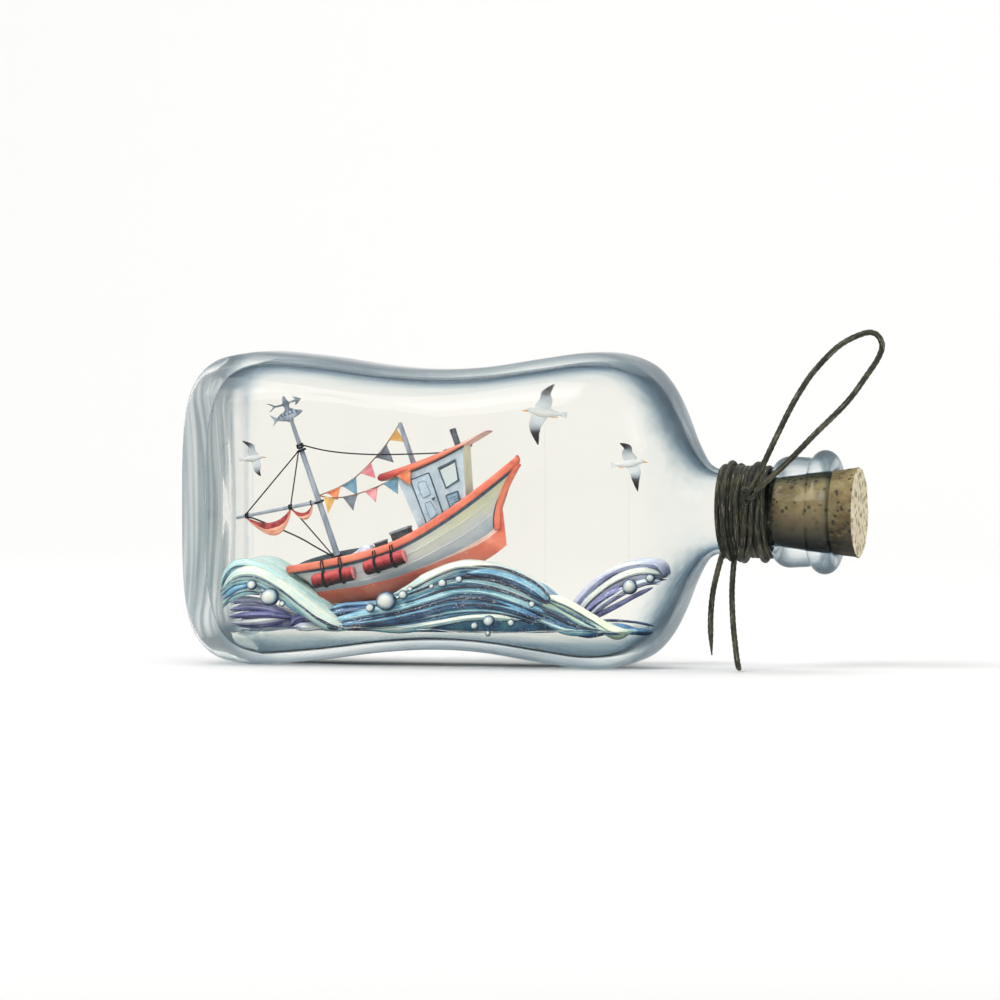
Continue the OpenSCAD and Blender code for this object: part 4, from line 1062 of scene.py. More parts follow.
def mound(top, y0, y1, tone, inset=0.8, foot=BED_Z - 0.6, step=1.0, ribs=7, seed=0):
    """The body of a wave between two depths: a crest line over the bed, ribbed along its length."""
    line = even(smooth(top, 8), step)
    m = 40
    a = np.linspace(0, math.pi, m)
    rings, uvs = [], []
    run = np.concatenate([[0], np.cumsum(np.linalg.norm(np.diff(line, axis=0), axis=1))])
    n = len(line)
    for k, (x, z) in enumerate(line):
        f = k / (n - 1)
        close = min(1, min(f, 1 - f) * 9 + 0.12) ** 0.6
        mid, half = (y0 + y1) / 2, (y1 - y0) / 2 * close
        h = max(z - inset - foot, 0.3)
        rib = np.abs(np.sin(ribs * a / 2 + 0.045 * run[k] + seed))
        y = mid - half * np.sign(np.cos(a)) * np.abs(np.cos(a)) ** 0.7
        zz = foot + h * np.sin(a) ** 0.42 * (0.93 + 0.07 * rib)
        rings.append(np.stack([np.full(m, x), y, zz], 1))
        uvs.append(np.stack([np.full(m, run[k] + 11 * seed), tone + 0.35 * (0.6 - rib)
                             + 0.12 * np.cos(a)], 1))
    verts, faces = skin(rings)
    uv = np.vstack([np.array(uvs).reshape(-1, 2), [[0, tone], [0, tone]]])
    return (verts, faces), uv


def wave(name, node, slot, material, *shapes):
    piece(name, join(*[s for s, _ in shapes]), material, (node,) if node else (),
          uv=np.vstack([u for _, u in shapes]))


CURL_TOP = [[-92.6, 22], [-91.4, 26.5], [-88, 29.8], [-82.6, 29.9], [-77, 27.3], [-70, 22.8],
            [-62, 16.8], [-53, 11.2]]
CURL_MID = [[-92, 22.6], [-87.4, 26.7], [-81, 27.2], [-74, 23.9], [-67, 18.9], [-60, 13.9], [-52.6, 10.9]]
KEEL_TOP = [[-60, 11], [-58, 17.2], [-50, 19.4], [-42, 21.2], [-34, 23.6], [-26, 27],
            [-18, 30], [-12, 30.4], [-4, 28.4], [3, 25.8], [8.2, 22.4], [9.2, 20.2]]
LOW_TOP = [[-90, 13], [-86, 17.2], [-79, 18], [-72, 16.6], [-64, 14], [-57, 11.6]]
BACK_TOP = [[9, 11.6], [13.4, 18.4], [19, 24.6], [26, 29], [33, 30.8], [38.4, 30.4], [40.4, 27.4]]


def make_sea():
    wave("left_curl", "wave_left_curl", "wave_aqua", WAVE_AQUA,
         strands([
             (CURL_TOP, 1.7, 0.42, 0.6),
             (CURL_MID, 2.5, 0.14, -0.6),
             ([[-92.6, 20.6], [-87.8, 24.4], [-82.4, 24.9], [-77.6, 23.2], [-72, 19.6], [-65.4, 15.4],
               [-58, 11.6]], 1.25, 0.56, -0.2),
             ([[-92, 17.8], [-88.6, 21], [-84.2, 22.6], [-79.4, 22]], 1.5, 0.36, 0.2),
             ([[-91.4, 19.6], [-87.6, 22.7], [-83.4, 23.8]], 0.8, 0.74, -1.2),
             ([[-73, 22.9], [-67, 18.3], [-61, 13.6], [-55.4, 11]], 1.0, 0.80, -1.6),
             ([[-76, 25], [-69.6, 20.9], [-63, 15.7], [-56, 11.6]], 0.45, 0.95, -2.5),
         ], -13.0, 0.3),
         strands([(CURL_TOP, 1.6, 0.34, b) for b in (-9.4, -5.4, -1.6, 2.4, 6.2, 10.2)]
                 + [(CURL_MID, 1.7, 0.14, b) for b in (-9.8, -6.4, -3, 0.4, 4.4, 8.4)], 0.0, 0.5))
    wave("left_low", "wave_left_low", "wave_violet", WAVE_VIOLET, strands([
        ([[-91, 18.4], [-86, 19.4], [-80.6, 18.8], [-75.6, 16.6]], 1.0, 0.30, 0.6),
        ([[-91, 16.2], [-85, 17.2], [-78.4, 16.6], [-71.4, 14.6]], 1.2, 0.52, 0),
        ([[-91, 14.2], [-84.6, 14.9], [-77.6, 15], [-70, 14.2]], 1.0, 0.66, -0.8),
        ([[-90.6, 12.4], [-84, 12.6], [-77, 13.6], [-69.4, 15.2]], 1.1, 0.22, -0.2),
        ([[-88.6, 11.1], [-82.4, 11.3], [-76, 12.5], [-69, 15]], 0.55, 0.60, 0.4),
        ([[-71.4, 11.6], [-69.6, 13.8], [-66.6, 14.4], [-63, 12.6]], 1.5, 0.62, -1.6),
        ([[-71, 10.6], [-67.4, 11.8], [-63, 12.2], [-58, 11]], 1.0, 0.40, -2.2),
        ([[-69, 10.2], [-65, 10.8], [-60.6, 11.6], [-56, 10.6]], 0.7, 0.12, -2.8),
    ], -8.6, 0.3), mound(LOW_TOP, -7, 12, 0.40, seed=1))
    wave("centre_wave", "wave_centre", "wave_blue", WAVE_BLUE,
         strands([
             ([[-40, 21.2], [-33.4, 23.6], [-26, 27.4], [-18.6, 30.1], [-11, 30], [-4, 28], [3, 25.2],
               [8.6, 21.9]], 2.0, 0.06, 0.2),
             ([[-26, 28], [-18.4, 31.2], [-11, 31.2], [-3.6, 29.3], [4, 26], [9.4, 22]], 0.9, 0.30, 1.0),
             ([[-16, 28.4], [-9, 28.4], [-2, 26.8], [4, 24.2], [7.6, 21.8], [9.4, 20.4]], 1.5, 0.50, -2.4),
             ([[-14, 30.6], [-6, 30.2], [1.4, 27.8], [6.8, 24.8], [9.9, 21.4], [9.4, 19.6]], 0.45, 0.98, -2.6),
             ([[-14, 27], [-6, 26.2], [1, 23.8], [6.4, 20.8], [9.4, 19.5]], 0.4, 0.99, -3.6),
             ([[-22, 26.2], [-13, 27.4], [-4.6, 25.8], [2.6, 23.2], [8.8, 20.6]], 1.8, 0.62, -0.3),
             ([[-47, 18.2], [-37.6, 20], [-28.4, 23.2], [-18.6, 25.6], [-9, 24.9], [0, 22.2], [7.4, 19.2]],
              1.35, 0.30, -0.9),
             ([[-43, 17], [-32, 19.8], [-22.6, 23.4], [-13.6, 24.6], [-4.4, 23.2], [4.4, 20]], 0.55, 0.92, -2.3),
             ([[-40, 19.4], [-29.6, 23.4], [-20, 26.9], [-12, 27.2], [-2, 24.6], [6, 21.2]], 0.45, 0.95, -2.2),
             ([[-62, 12.2], [-54, 14], [-45, 15.8], [-36, 17.4], [-27, 20.2], [-18, 22.7], [-9, 22.2],
               [0, 19.6], [8, 16.8]], 2.3, 0.36, -0.7),
             ([[-61, 11.4], [-52, 12.6], [-42, 14], [-31, 16.4], [-21, 19], [-11, 19.4], [-2, 17.8],
               [7, 15]], 1.8, 0.60, -1.5),
             ([[-56, 10.9], [-44, 12.3], [-32, 14.2], [-21, 16.4], [-11, 17.1], [-2, 16.1], [6, 13.8]],
              1.5, 0.46, -0.4),
             ([[-48, 10.6], [-36, 11.6], [-26, 13], [-16, 14.8], [-7, 15.2], [1, 14.6]], 1.1, 0.14, -1.0),
             ([[-50, 13.4], [-40, 15.2], [-30, 17.8], [-20, 20.6], [-11, 20.8], [-2, 18.6]], 0.5, 0.97, -3.2),
             ([[-60, 16.6], [-54, 18.2], [-47, 18.6], [-40, 19.2]], 0.9, 0.64, 1.2),
             ([[-61, 14.6], [-55, 16.2], [-48, 16.8], [-40, 17.8]], 1.2, 0.78, 0.4),
         ], -12.2, 0.35),
         mound(KEEL_TOP, -11.6, 12, 0.45, seed=2, ribs=9))
    wave("right_ribbon", "wave_right_ribbon", "wave_aqua", WAVE_GREEN, strands([
        ([[5.6, 22], [13.6, 19.4], [21.6, 15.2], [28.4, 11.2], [34, 8.6]], 1.7, 0.18, -0.6),
        ([[4, 20], [12, 17.4], [20, 13.3], [27, 9.8]], 1.0, 0.50, -1.6),
        ([[8, 21.6], [16, 18.6], [24, 14.2], [31.6, 10]], 0.8, 0.42, 1.0),
        ([[10, 19.4], [18, 15.6], [26, 11.2], [33, 8.4]], 0.4, 0.98, -2.4),
    ], -10.4, 0.2))
    wave("right_blue", None, "wave_blue", WAVE_BLUE, strands([
        ([[-13, 21.4], [-3, 19.3], [7, 16.2], [17, 12.2], [27, 9.2]], 1.9, 0.55, 0),
        ([[-8, 18.6], [2, 16.6], [12, 13.2], [22, 10]], 1.4, 0.72, -0.6),
        ([[-4, 17], [6, 14.4], [15, 11.3], [24, 9.4]], 0.9, 0.30, -1.2),
        ([[-2, 20.2], [8, 17], [18, 12.8], [28, 9]], 0.45, 0.97, -1.9),
        ([[23, 12.2], [29.4, 12.4], [35, 11.2], [39.4, 9.4]], 1.2, 0.62, 2.4),
        ([[22, 14.4], [29, 14.4], [35, 13.9], [40, 13]], 0.42, 0.85, 3.2),
        ([[26, 10.6], [31, 10.8], [36, 9.8]], 0.9, 0.30, 1.2),
    ], -10.8, 0.2))
    wave("right_back", "wave_right_back", "wave_violet", WAVE_VIOLET,
         strands([
             (BACK_TOP, 1.3, 0.34, -1.2),
             ([[13, 13.4], [18.4, 20], [25.6, 25.4], [33, 28.2], [39.6, 28]], 1.9, 0.06, -1.0),
             ([[12.6, 12.4], [18.6, 17.8], [24.4, 21.6], [29.4, 23.6]], 1.5, 0.62, -1.4),
             ([[16.4, 13.6], [22, 18.6], [28.4, 22.8], [34.6, 25.4], [39.6, 25.8]], 1.2, 0.26, -2.0),
             ([[13.4, 11.6], [20, 15.2], [26.6, 18.6], [32.6, 21.8], [37, 23.8]], 0.8, 0.48, -0.9),
         ], 5.0, 0.2),
         strands([(BACK_TOP, 1.5, 0.30, b) for b in (1.6, 4.6, 7.4)]
                 + [([[13, 13], [19, 19], [26, 24], [33, 27], [39.6, 27]], 1.8, 0.12, b) for b in (1.8, 5, 8)],
                 5.0, 0.3))


def make_bed():
    """Clear resin poured in the belly of the bottle, with a gently uneven top."""
    rows = shell_rows(AIR, HALF_H - WALL, HALF_D - WALL, NECK_BORE)
    rows = rows[np.argsort(rows[:, 0])]
    rings = []
    for x in np.arange(-87, 34.1, 1.25):
        h = np.interp(x, rows[:, 0], rows[:, 1]) - 0.42
        d = np.interp(x, rows[:, 0], rows[:, 2]) - 0.42
        top = BED_Z - 0.4 + 0.8 * math.sin(math.radians(5 * x)) + 1.2 * math.exp(-((x + 28) / 16) ** 2)
        w = d * (1 - min(0.999, (AXIS_Z - top) / h) ** 4) ** 0.25
        y = -w * np.cos(np.linspace(0, math.pi, 33))
        z = AXIS_Z - h * (1 - np.abs(y / d) ** 4) ** 0.25
        under = np.stack([np.full(33, x), y, np.minimum(z, top)], 1)
        ys = np.linspace(w * 0.92, -w * 0.92, 17)
        over = np.stack([np.full(17, x), ys, top + 0.18 * np.sin(0.5 * x + 0.7 * ys) - 0.1], 1)
        rings.append(np.vstack([under, over]))
    piece("resin_bed", skin(rings), RESIN, ("sea_bed",))


BUBBLES = {
    "bubbles_left": (-15.6, [[-82, 24.2, 1.5], [-76.4, 20.6, 2.7], [-72.6, 18.6, 0.9]]),
    "bubbles_centre": (-16.4, [
        [-40, 19.8, 3.0], [-45, 17.8, 1.4], [-34.8, 21.8, 1.4], [-32.6, 23.6, 0.8], [-22.6, 25.4, 1.3],
        [-17.6, 26.6, 1.1], [-26, 24.4, 0.7], [-8.4, 14.3, 1.7], [-12.8, 12.8, 1.1], [-1.6, 13.8, 1.1],
        [4.8, 19.4, 1.0], [-8.6, 10.6, 0.8]]),
    "bubbles_right": (2.4, [[30.4, 24, 2.3], [36.6, 26.6, 1.4], [26.6, 21.6, 0.7]])}


def make_bubbles():
    """Blown glass beads with thin walls, each a little squashed, with a smaller bubble's collar."""
    for name, (y, rows) in BUBBLES.items():
        shapes, inner, at = [], [], 0
        for i, (x, z, r) in enumerate(rows):
            for scale in (1.0, 0.86):
                a = np.linspace(0.12, math.pi - 0.12, 26)
                outline = np.stack([-r * scale * 1.06 * np.cos(a), r * scale * np.sin(a)], 1)
                ball = turned_about(outline, 36, (x, y, z), (0.9, 0, 0.43), (-0.43, 0, 0.9))
                v, f = skin(ball)
                v = v + 0.03 * r * wobble(v, 2.5 * r, 40 + i, 1)[:, None]
                shapes.append((v, f))
                inner += range(at, at + len(f)) if scale < 1 else []
                at += len(f)
        piece(name + "_glass", join(*shapes), BUBBLE, (name,), inner=inner)


make_sea()
make_bed()
make_bubbles()

# ---- boat, in its own frame before it is pitched: x forward, z up ----

PITCH = math.radians(19.5)
BOAT = np.array([-64.1, 0, 22.8])
TURN = arr([math.cos(PITCH), 0, -math.sin(PITCH)], [0, 1, 0], [math.sin(PITCH), 0, math.cos(PITCH)])


def afloat(p):
    return np.asarray(p, float) @ TURN.T + BOAT


STERN_X, BOW_X, LOW_X, RAIL_H, HALF_BEAM = -6.3, 69.1, 25, 2.2, 8.5
HOUSE_HALF, ROOF_HALF, ROOF_X0, ROOF_X1 = 4.8, 6, 28.5, 64.4


def sheer(x):
    x = np.asarray(x, float)
    aft = 3.8 * np.clip((LOW_X - x) / (LOW_X - STERN_X), 0, None) ** 1.6
    fore = 11.9 * np.clip((x - LOW_X) / (BOW_X - LOW_X), 0, None) ** 1.6
    return 4.5 + np.where(x < LOW_X, aft, fore)


def keel(x):
    x = np.asarray(x, float)
    return -9 + 4.8 * np.clip((15.5 - x) / 17, 0, None) ** 1.5 + 2.7 * np.clip((x - 45) / 13.3, 0, None) ** 2


def bow_at(v):
    v = np.asarray(v, float)
    return 57.1 + 1.2 * np.clip((0.217 - v) / 0.217, 0, None) \
        + (BOW_X - 57.1) * np.clip((v - 0.217) / 0.783, 0, None) ** 1.7


def stern_at(v):
    return -1.5 + (STERN_X + 1.5) * np.asarray(v, float) ** 3.5


def breadth(u):
    u = np.asarray(u, float)
    fore = HALF_BEAM * np.maximum(1 - (np.clip(u - 0.4, 0, None) / 0.6) ** 2.4, 0.004) ** 0.85
    return np.where(u < 0.4, 5.6 + (HALF_BEAM - 5.6) * np.sin(np.radians(225 * u)), fore)


def hull_x(u, v):
    return stern_at(v) + (bow_at(v) - stern_at(v)) * u


def hull_top(u):
    return sheer(hull_x(u, 1)) - RAIL_H / 2


def hull_z(u, v):
    low = keel(hull_x(u, 0))
    return low + (hull_top(u) - low) * v


def hull_y(u, v):
    full = 0.38 + 0.5 * u ** 3 + 0.15 * (1 - u) ** 3
    return 0.3 + (breadth(u) - 0.25) * np.asarray(v, float) ** full


BOOT = arr([-4, -0.2], [3, -1.6], [13, -3.6], [24, -4.6], [34, -4.5], [43, -4.1], [50, -3.5], [54, -2.6],
           [57.4, -1.3], [60, 0])


def make_hull():
    us = np.concatenate([np.linspace(0, 0.9, 64), np.linspace(0.91, 1, 16)])
    low_n, side_n, top_n = 9, 20, 4
    rows, uvs = [], []
    for u in us:
        vb = 0.2
        for _ in range(6):
            z = np.interp(hull_x(u, vb), BOOT[:, 0], BOOT[:, 1])
            base = keel(hull_x(u, 0))
            vb = float(np.clip((z - base) / (hull_top(u) - base), 0.05, 0.8))
        edge = 0.055 * float(np.clip((hull_x(u, vb) - 30) / 20, 0, 1)) + 0.004
        v = np.concatenate([np.linspace(0, vb, low_n), [vb + edge * 0.5, vb + edge],
                            np.linspace(vb + edge, 0.925, side_n)[1:], np.linspace(0.925, 1, top_n)[1:]])
        y = hull_y(u, v)
        half = np.stack([hull_x(u, v), -y, hull_z(u, v)], 1)
        other = half[::-1] * np.array([1, -1, 1])
        rows.append(np.vstack([half, other]))
        uvs.append(np.concatenate([v, v[::-1]]))
    rings = np.array(rows)
    n, m = rings.shape[:2]
    verts, faces = skin(afloat(rings))
    k = m // 2
    # the top rows of each side, just under the rail, take the dark blue paint: a painted shadow of the rail
    band = np.concatenate([np.full(low_n - 1, 0), np.full(2, 2), np.full(side_n - 1, 1),
                           np.full(top_n - 1, 3)])
    per_ring = np.concatenate([band, [1], band[::-1], [0]])[:m]
    slots = np.tile(per_ring, n - 1)
    slots = np.concatenate([slots, np.repeat(per_ring, 2)])
    up = np.concatenate([np.array(uvs).reshape(-1), [0.5, 0.5]])
    fore = np.concatenate([np.repeat(us, m), [0, 1]])
    piece("hull_skin", (verts, faces), [CORAL, HULL_SIDE, BOOT_LINE, DARK_BLUE], ("hull",),
          face_slots=slots, sharp=40, values={"up": up, "fore": fore})
    # two proud strakes that follow the planking
    for i, v in enumerate((0.52, 0.74)):
        uu = np.linspace(0.02, 0.965, 90)
        shapes = []
        for side in (-1, 1):
            route = afloat(np.stack([hull_x(uu, v), side * (hull_y(uu, v) - 0.02), hull_z(uu, v)], 1))
            shapes.append(skin(tube_rings(route, 0.16, 8, side=(0, 0, 1))))
        piece("strake_%d" % i, join(*shapes), TOPSIDE, ())


def swept(route, profile, up=(0, 0, 1), wrap=False):
    """A profile of (outwards, up) points carried along a route."""
    route = np.asarray(route, float)
    if wrap:
        t = np.roll(route, -1, 0) - np.roll(route, 1, 0)
    else:
        t = np.gradient(route, axis=0)
    t /= np.linalg.norm(t, axis=1)[:, None] + 1e-12
    up = np.array(up, float)
    out = np.cross(t, up)
    out /= np.linalg.norm(out, axis=1)[:, None]
    p = np.asarray(profile, float)
    return route[:, None] + p[None, :, :1] * out[:, None] + p[None, :, 1:] * up


def rounded_box(w, h, e=3.2, m=20):
    a = 2 * math.pi * np.arange(m) / m
    c, s = np.cos(a), np.sin(a)
    return np.stack([w / 2 * np.sign(c) * np.abs(c) ** (2 / e), h / 2 * np.sign(s) * np.abs(s) ** (2 / e)], 1)


def make_rail():
    u = np.linspace(0.985, 0, 90)
    side = np.stack([hull_x(u, 1), -(breadth(u) - 0.2), hull_top(u) + RAIL_H / 2], 1)
    w = float(breadth(0)) - 0.2
    arc = [[STERN_X + 0.6 - 1.5 * math.sin(a), -(w - 1.3) - 1.3 * math.cos(a), side[-1][2] + 0.15 * math.sin(a)]
           for a in np.linspace(0.25, math.pi / 2, 7)]
    across = [[STERN_X - 0.9 - 0.35 * math.cos(y / w * 1.57), y, side[-1][2] + 0.18]
              for y in np.linspace(-(w - 1.6), 0, 7)]
    half = np.vstack([[[BOW_X + 1.1, -0.12, float(hull_top(1)) + RAIL_H / 2 + 0.6]],
                      [[BOW_X + 0.4, -0.5, float(hull_top(0.995)) + RAIL_H / 2 + 0.2]], side, arc, across[:-1]])
    loop = np.vstack([half, [across[-1]], half[::-1] * np.array([1, -1, 1])])
    loop = smooth(loop, 2)
    rings = swept(loop, rounded_box(1.5, RAIL_H + 0.1), wrap=False)
    verts, faces = skin(afloat(rings))
    piece("rail", (verts, faces), CORAL, ("gunwale_rail",))


def make_bulwark():
    """Dark wash boards inside the quarters. The far one stands a little above its rail."""
    u = np.linspace(0.0, 0.36, 40)
    for side, rise in ((1, 2.0), (-1, -0.3)):
        foot = np.stack([hull_x(u, 1) + 0.5 * (u == 0), side * (breadth(u) - 1.15), hull_top(u) - 0.2], 1)
        swell = rise * np.sin(np.pi * np.clip(u / 0.36, 0, 1)) ** 0.6
        rings = []
        for p, h in zip(foot, swell):
            top = RAIL_H + 0.1 + h
            rings.append([p, p + [0, 0, top - 0.15], p + [0, side * 0.15, top], p + [0, side * 0.4, top],
                          p + [0, side * 0.55, top - 0.15], p + [0, side * 0.55, 0]])
        piece("wash_board_" + ("far" if side > 0 else "near"), skin(afloat(np.array(rings))), SLATE, (),
              sharp=35)


def make_stem():
    v = np.linspace(0.0, 1.02, 60)
    x = bow_at(v) + 0.25
    z = keel(hull_x(1, 0)) + (hull_top(1) - keel(hull_x(1, 0))) * v
    route = np.stack([x, np.zeros_like(x), z], 1)
    route = route[v > 0.235]
    t = np.gradient(route, axis=0)
    t /= np.linalg.norm(t, axis=1)[:, None]
    out = np.stack([t[:, 2], 0 * t[:, 0], -t[:, 0]], 1)
    prof = rounded_box(2.2, 1.9, 3)
    rings = route[:, None] + prof[None, :, :1] * out[:, None] + prof[None, :, 1:] * np.array([0, 1, 0])
    piece("stem", skin(afloat(rings)), CORAL, ("stem_post",))
    line = route[2:-2] + out[2:-2] * -1.0
    shapes = []
    for side in (-1, 1):
        shapes.append(skin(afloat(tube_rings(line + np.array([0, side * 0.72, 0]), 0.2, 8, side=(0, 1, 0)))))
    piece("stem_seam", join(*shapes), DARK, ())


def roof_under(x):
    return 23.9 + 3.5 * ((x - 35) / 29) ** 2


def roof_top(x):
    return roof_under(x) + 0.25 + 1.9 * (1 - ((x - ROOF_X0) / (ROOF_X1 - ROOF_X0)) ** 2)


def make_roof():
    xs = np.concatenate([[ROOF_X0 + 0.05, ROOF_X0 + 0.25], np.linspace(ROOF_X0 + 0.7, ROOF_X1 - 0.8, 50),
                         [ROOF_X1 - 0.3, ROOF_X1 - 0.02]])
    rings = []
    for i, x in enumerate(xs):
        lo, hi = roof_under(x), roof_top(x)
        end = min(1.0, (min(x - ROOF_X0, ROOF_X1 - x) / 0.75 + 0.15)) ** 0.5
        mid, half = (lo + hi) / 2, (hi - lo) / 2 * end
        w = ROOF_HALF * (0.9 + 0.1 * end)
        a = 2 * math.pi * np.arange(40) / 40
        c, s = np.cos(a), np.sin(a)
        y = w * np.sign(c) * np.abs(c) ** 0.35
        z = mid + half * np.sign(s) * np.abs(s) ** 0.5 + np.where(s > 0, 0.35 * (1 - (y / w) ** 2), 0)
        rings.append(np.stack([np.full(40, x), y, z], 1))
    share = np.concatenate([np.repeat((xs - ROOF_X0) / (ROOF_X1 - ROOF_X0), 40), [0, 1]])
    piece("roof", skin(afloat(np.array(rings))), ROOF, ("wheelhouse_roof",),
          values={"fore": share})
    # a dark line on the wall just below the roof's edge: a painted shadow of the roof
    route = np.stack([np.linspace(33.4, 57, 40), np.full(40, -HOUSE_HALF - 0.12), roof_under(np.linspace(33.4, 57, 40)) - 0.22], 1)
    piece("roof_shadow_line", join(*[skin(afloat(tube_rings(route * np.array([1, s, 1]), 0.24, 8))) for s in (1, -1)]),
          DARK, ())


def panel(points, y, out, width, seg=5):
    """A raised moulding that follows a closed outline on the wall at depth y."""
    loop = np.asarray(points, float)
    route = np.stack([loop[:, 0], np.full(len(loop), y - out), loop[:, 1]], 1)
    t = np.roll(route, -1, 0) - np.roll(route, 1, 0)
    t /= np.linalg.norm(t, axis=1)[:, None]
    n = np.cross(t, np.array([0, 1.0, 0]))
    a = 2 * math.pi * np.arange(8) / 8
    rings = route[:, None] + width * (np.cos(a)[None, :, None] * n[:, None] + np.sin(a)[None, :, None] * np.array([0, 1, 0]))
    return skin(afloat(rings), wrap=True)


def rounded_outline(corners, r, seg=6):
    p = np.asarray(corners, float)
    n = len(p)
    out = []
    for i in range(n):
        a, b, c = p[i - 1], p[i], p[(i + 1) % n]
        u, v = (a - b) / np.linalg.norm(a - b), (c - b) / np.linalg.norm(c - b)
        rr = r[i] if hasattr(r, "__len__") else r
        for k in np.linspace(0, 1, seg):
            q0, q1 = b + u * rr, b + v * rr
            out.append((1 - k) ** 2 * q0 + 2 * k * (1 - k) * b + k * k * q1)
    return np.array(out)


def make_house():
    softened("wheelhouse", HOUSE_TONED, 0.25, 3)
    softened("door", DOOR, 0.12, 2)
    wall = -HOUSE_HALF
    upper = rounded_outline([[39.5, 19.9], [42.2, 20.1], [42.5, 15.4], [39.8, 15.0]], [1.2, 1.2, 0.5, 0.9], 7)
    lower = rounded_outline([[39.8, 13.4], [41.7, 13.6], [42.6, 9.2], [39.9, 8.4]], [0.5, 0.5, 0.5, 0.5], 5)
    frame_line = rounded_outline([[37.9, 21.5], [44.1, 21.7], [44.1, 7.9], [38.3, 6.5]], 0.3, 3)
    piece("door_mouldings", join(panel(upper, wall, 0.62, 0.13), panel(lower, wall, 0.62, 0.13)),
          HATCH, ())
    piece("door_casing", panel(frame_line, wall, 0.3, 0.2), DARK_BLUE, ())
    softened("door_knob", IRON, 0.05, 2, angle=60)
    handle = smooth([[42.5, wall - 1.05, 13.75], [43.1, wall - 1.1, 13.85], [43.7, wall - 1.05, 14.15]], 6)
    piece("door_handle", skin(afloat(tube_rings(handle, 0.17, 8, side=(0, 0, 1)))), DARK, ())
    softened("window_frames", DARK_BLUE, 0.1, 2)
    softened("window_panes", PANE, 0.03, 1)
    softened("vent_hatch", HATCH, 0.09, 2)
    hatch = rounded_outline([[46.8, 13.6], [50.7, 13.6], [50.3, 9.6], [46.7, 8.7]], 0.25, 3)
    piece("hatch_casing", panel(hatch, wall, 0.28, 0.2), DARK_BLUE, ())
    softened("funnel", IRON, 0.12, 3)
    bands = []
    for z in (roof_top(54.1) + 4.9, roof_top(54.1) + 4.2):
        ring = turned_about([[-0.14, 0.93], [-0.10, 1.06], [0.10, 1.06], [0.14, 0.93]], 32, (54.1, 0, z), (0, 0, 1), (1, 0, 0))
        bands.append(skin(afloat(ring)))
    piece("funnel_bands", join(*bands), DARK, ())
    softened("deck", DECKING, 0.15, 2)


# ---- masts, vane, sails and lines ----

MAST_X, MAST_FOOT, MAST_HEAD, POLE_TOP = 7.5, 5.2, 43.6, 50.6


def pole(name, rows, material, node, body=ROOT, x=MAST_X):
    """A spar turned about a line parallel to the mast, with a little hand-carved unevenness."""
    outline = even(np.array(rows, float), 0.5)
    rings = turned_about(outline, 28, (x, 0, 0), (0, 0, 1), (1, 0, 0))
    middle = np.array([x, 0, 0])
    noise = 1 + 0.018 * wobble(rings, 3, 17, 2)
    rings = np.stack([middle[0] + (rings[..., 0] - middle[0]) * noise, rings[..., 1] * noise, rings[..., 2]], -1)
    piece(name, skin(afloat(rings)), material, (node,) if node else (), body)


def mast_radius(z):
    return 1 - 0.25 * (z - MAST_FOOT) / (MAST_HEAD - MAST_FOOT)


def ring_of(inner, r, sides=40, twist=0.0):
    a = np.linspace(0, 2 * math.pi, 48, endpoint=False)
    route = np.stack([(inner + r) * np.cos(a), (inner + r) * np.sin(a), twist * np.sin(a)], 1)
    route = np.vstack([route, route[:1]])
    return tube_rings(route, r, 10, 3, 1.6, 0.16, side=(0, 0, 1))


def on_mast(rings, z):
    return rings + np.array([MAST_X, 0, z])


BOOM_IN, BOOM_OUT = arr(6.2, 0, 25.2), arr(-18.8, 0, 28.8)


def along_boom(x):
    return BOOM_IN + (BOOM_OUT - BOOM_IN) * (BOOM_IN[0] - x) / (BOOM_IN[0] - BOOM_OUT[0])


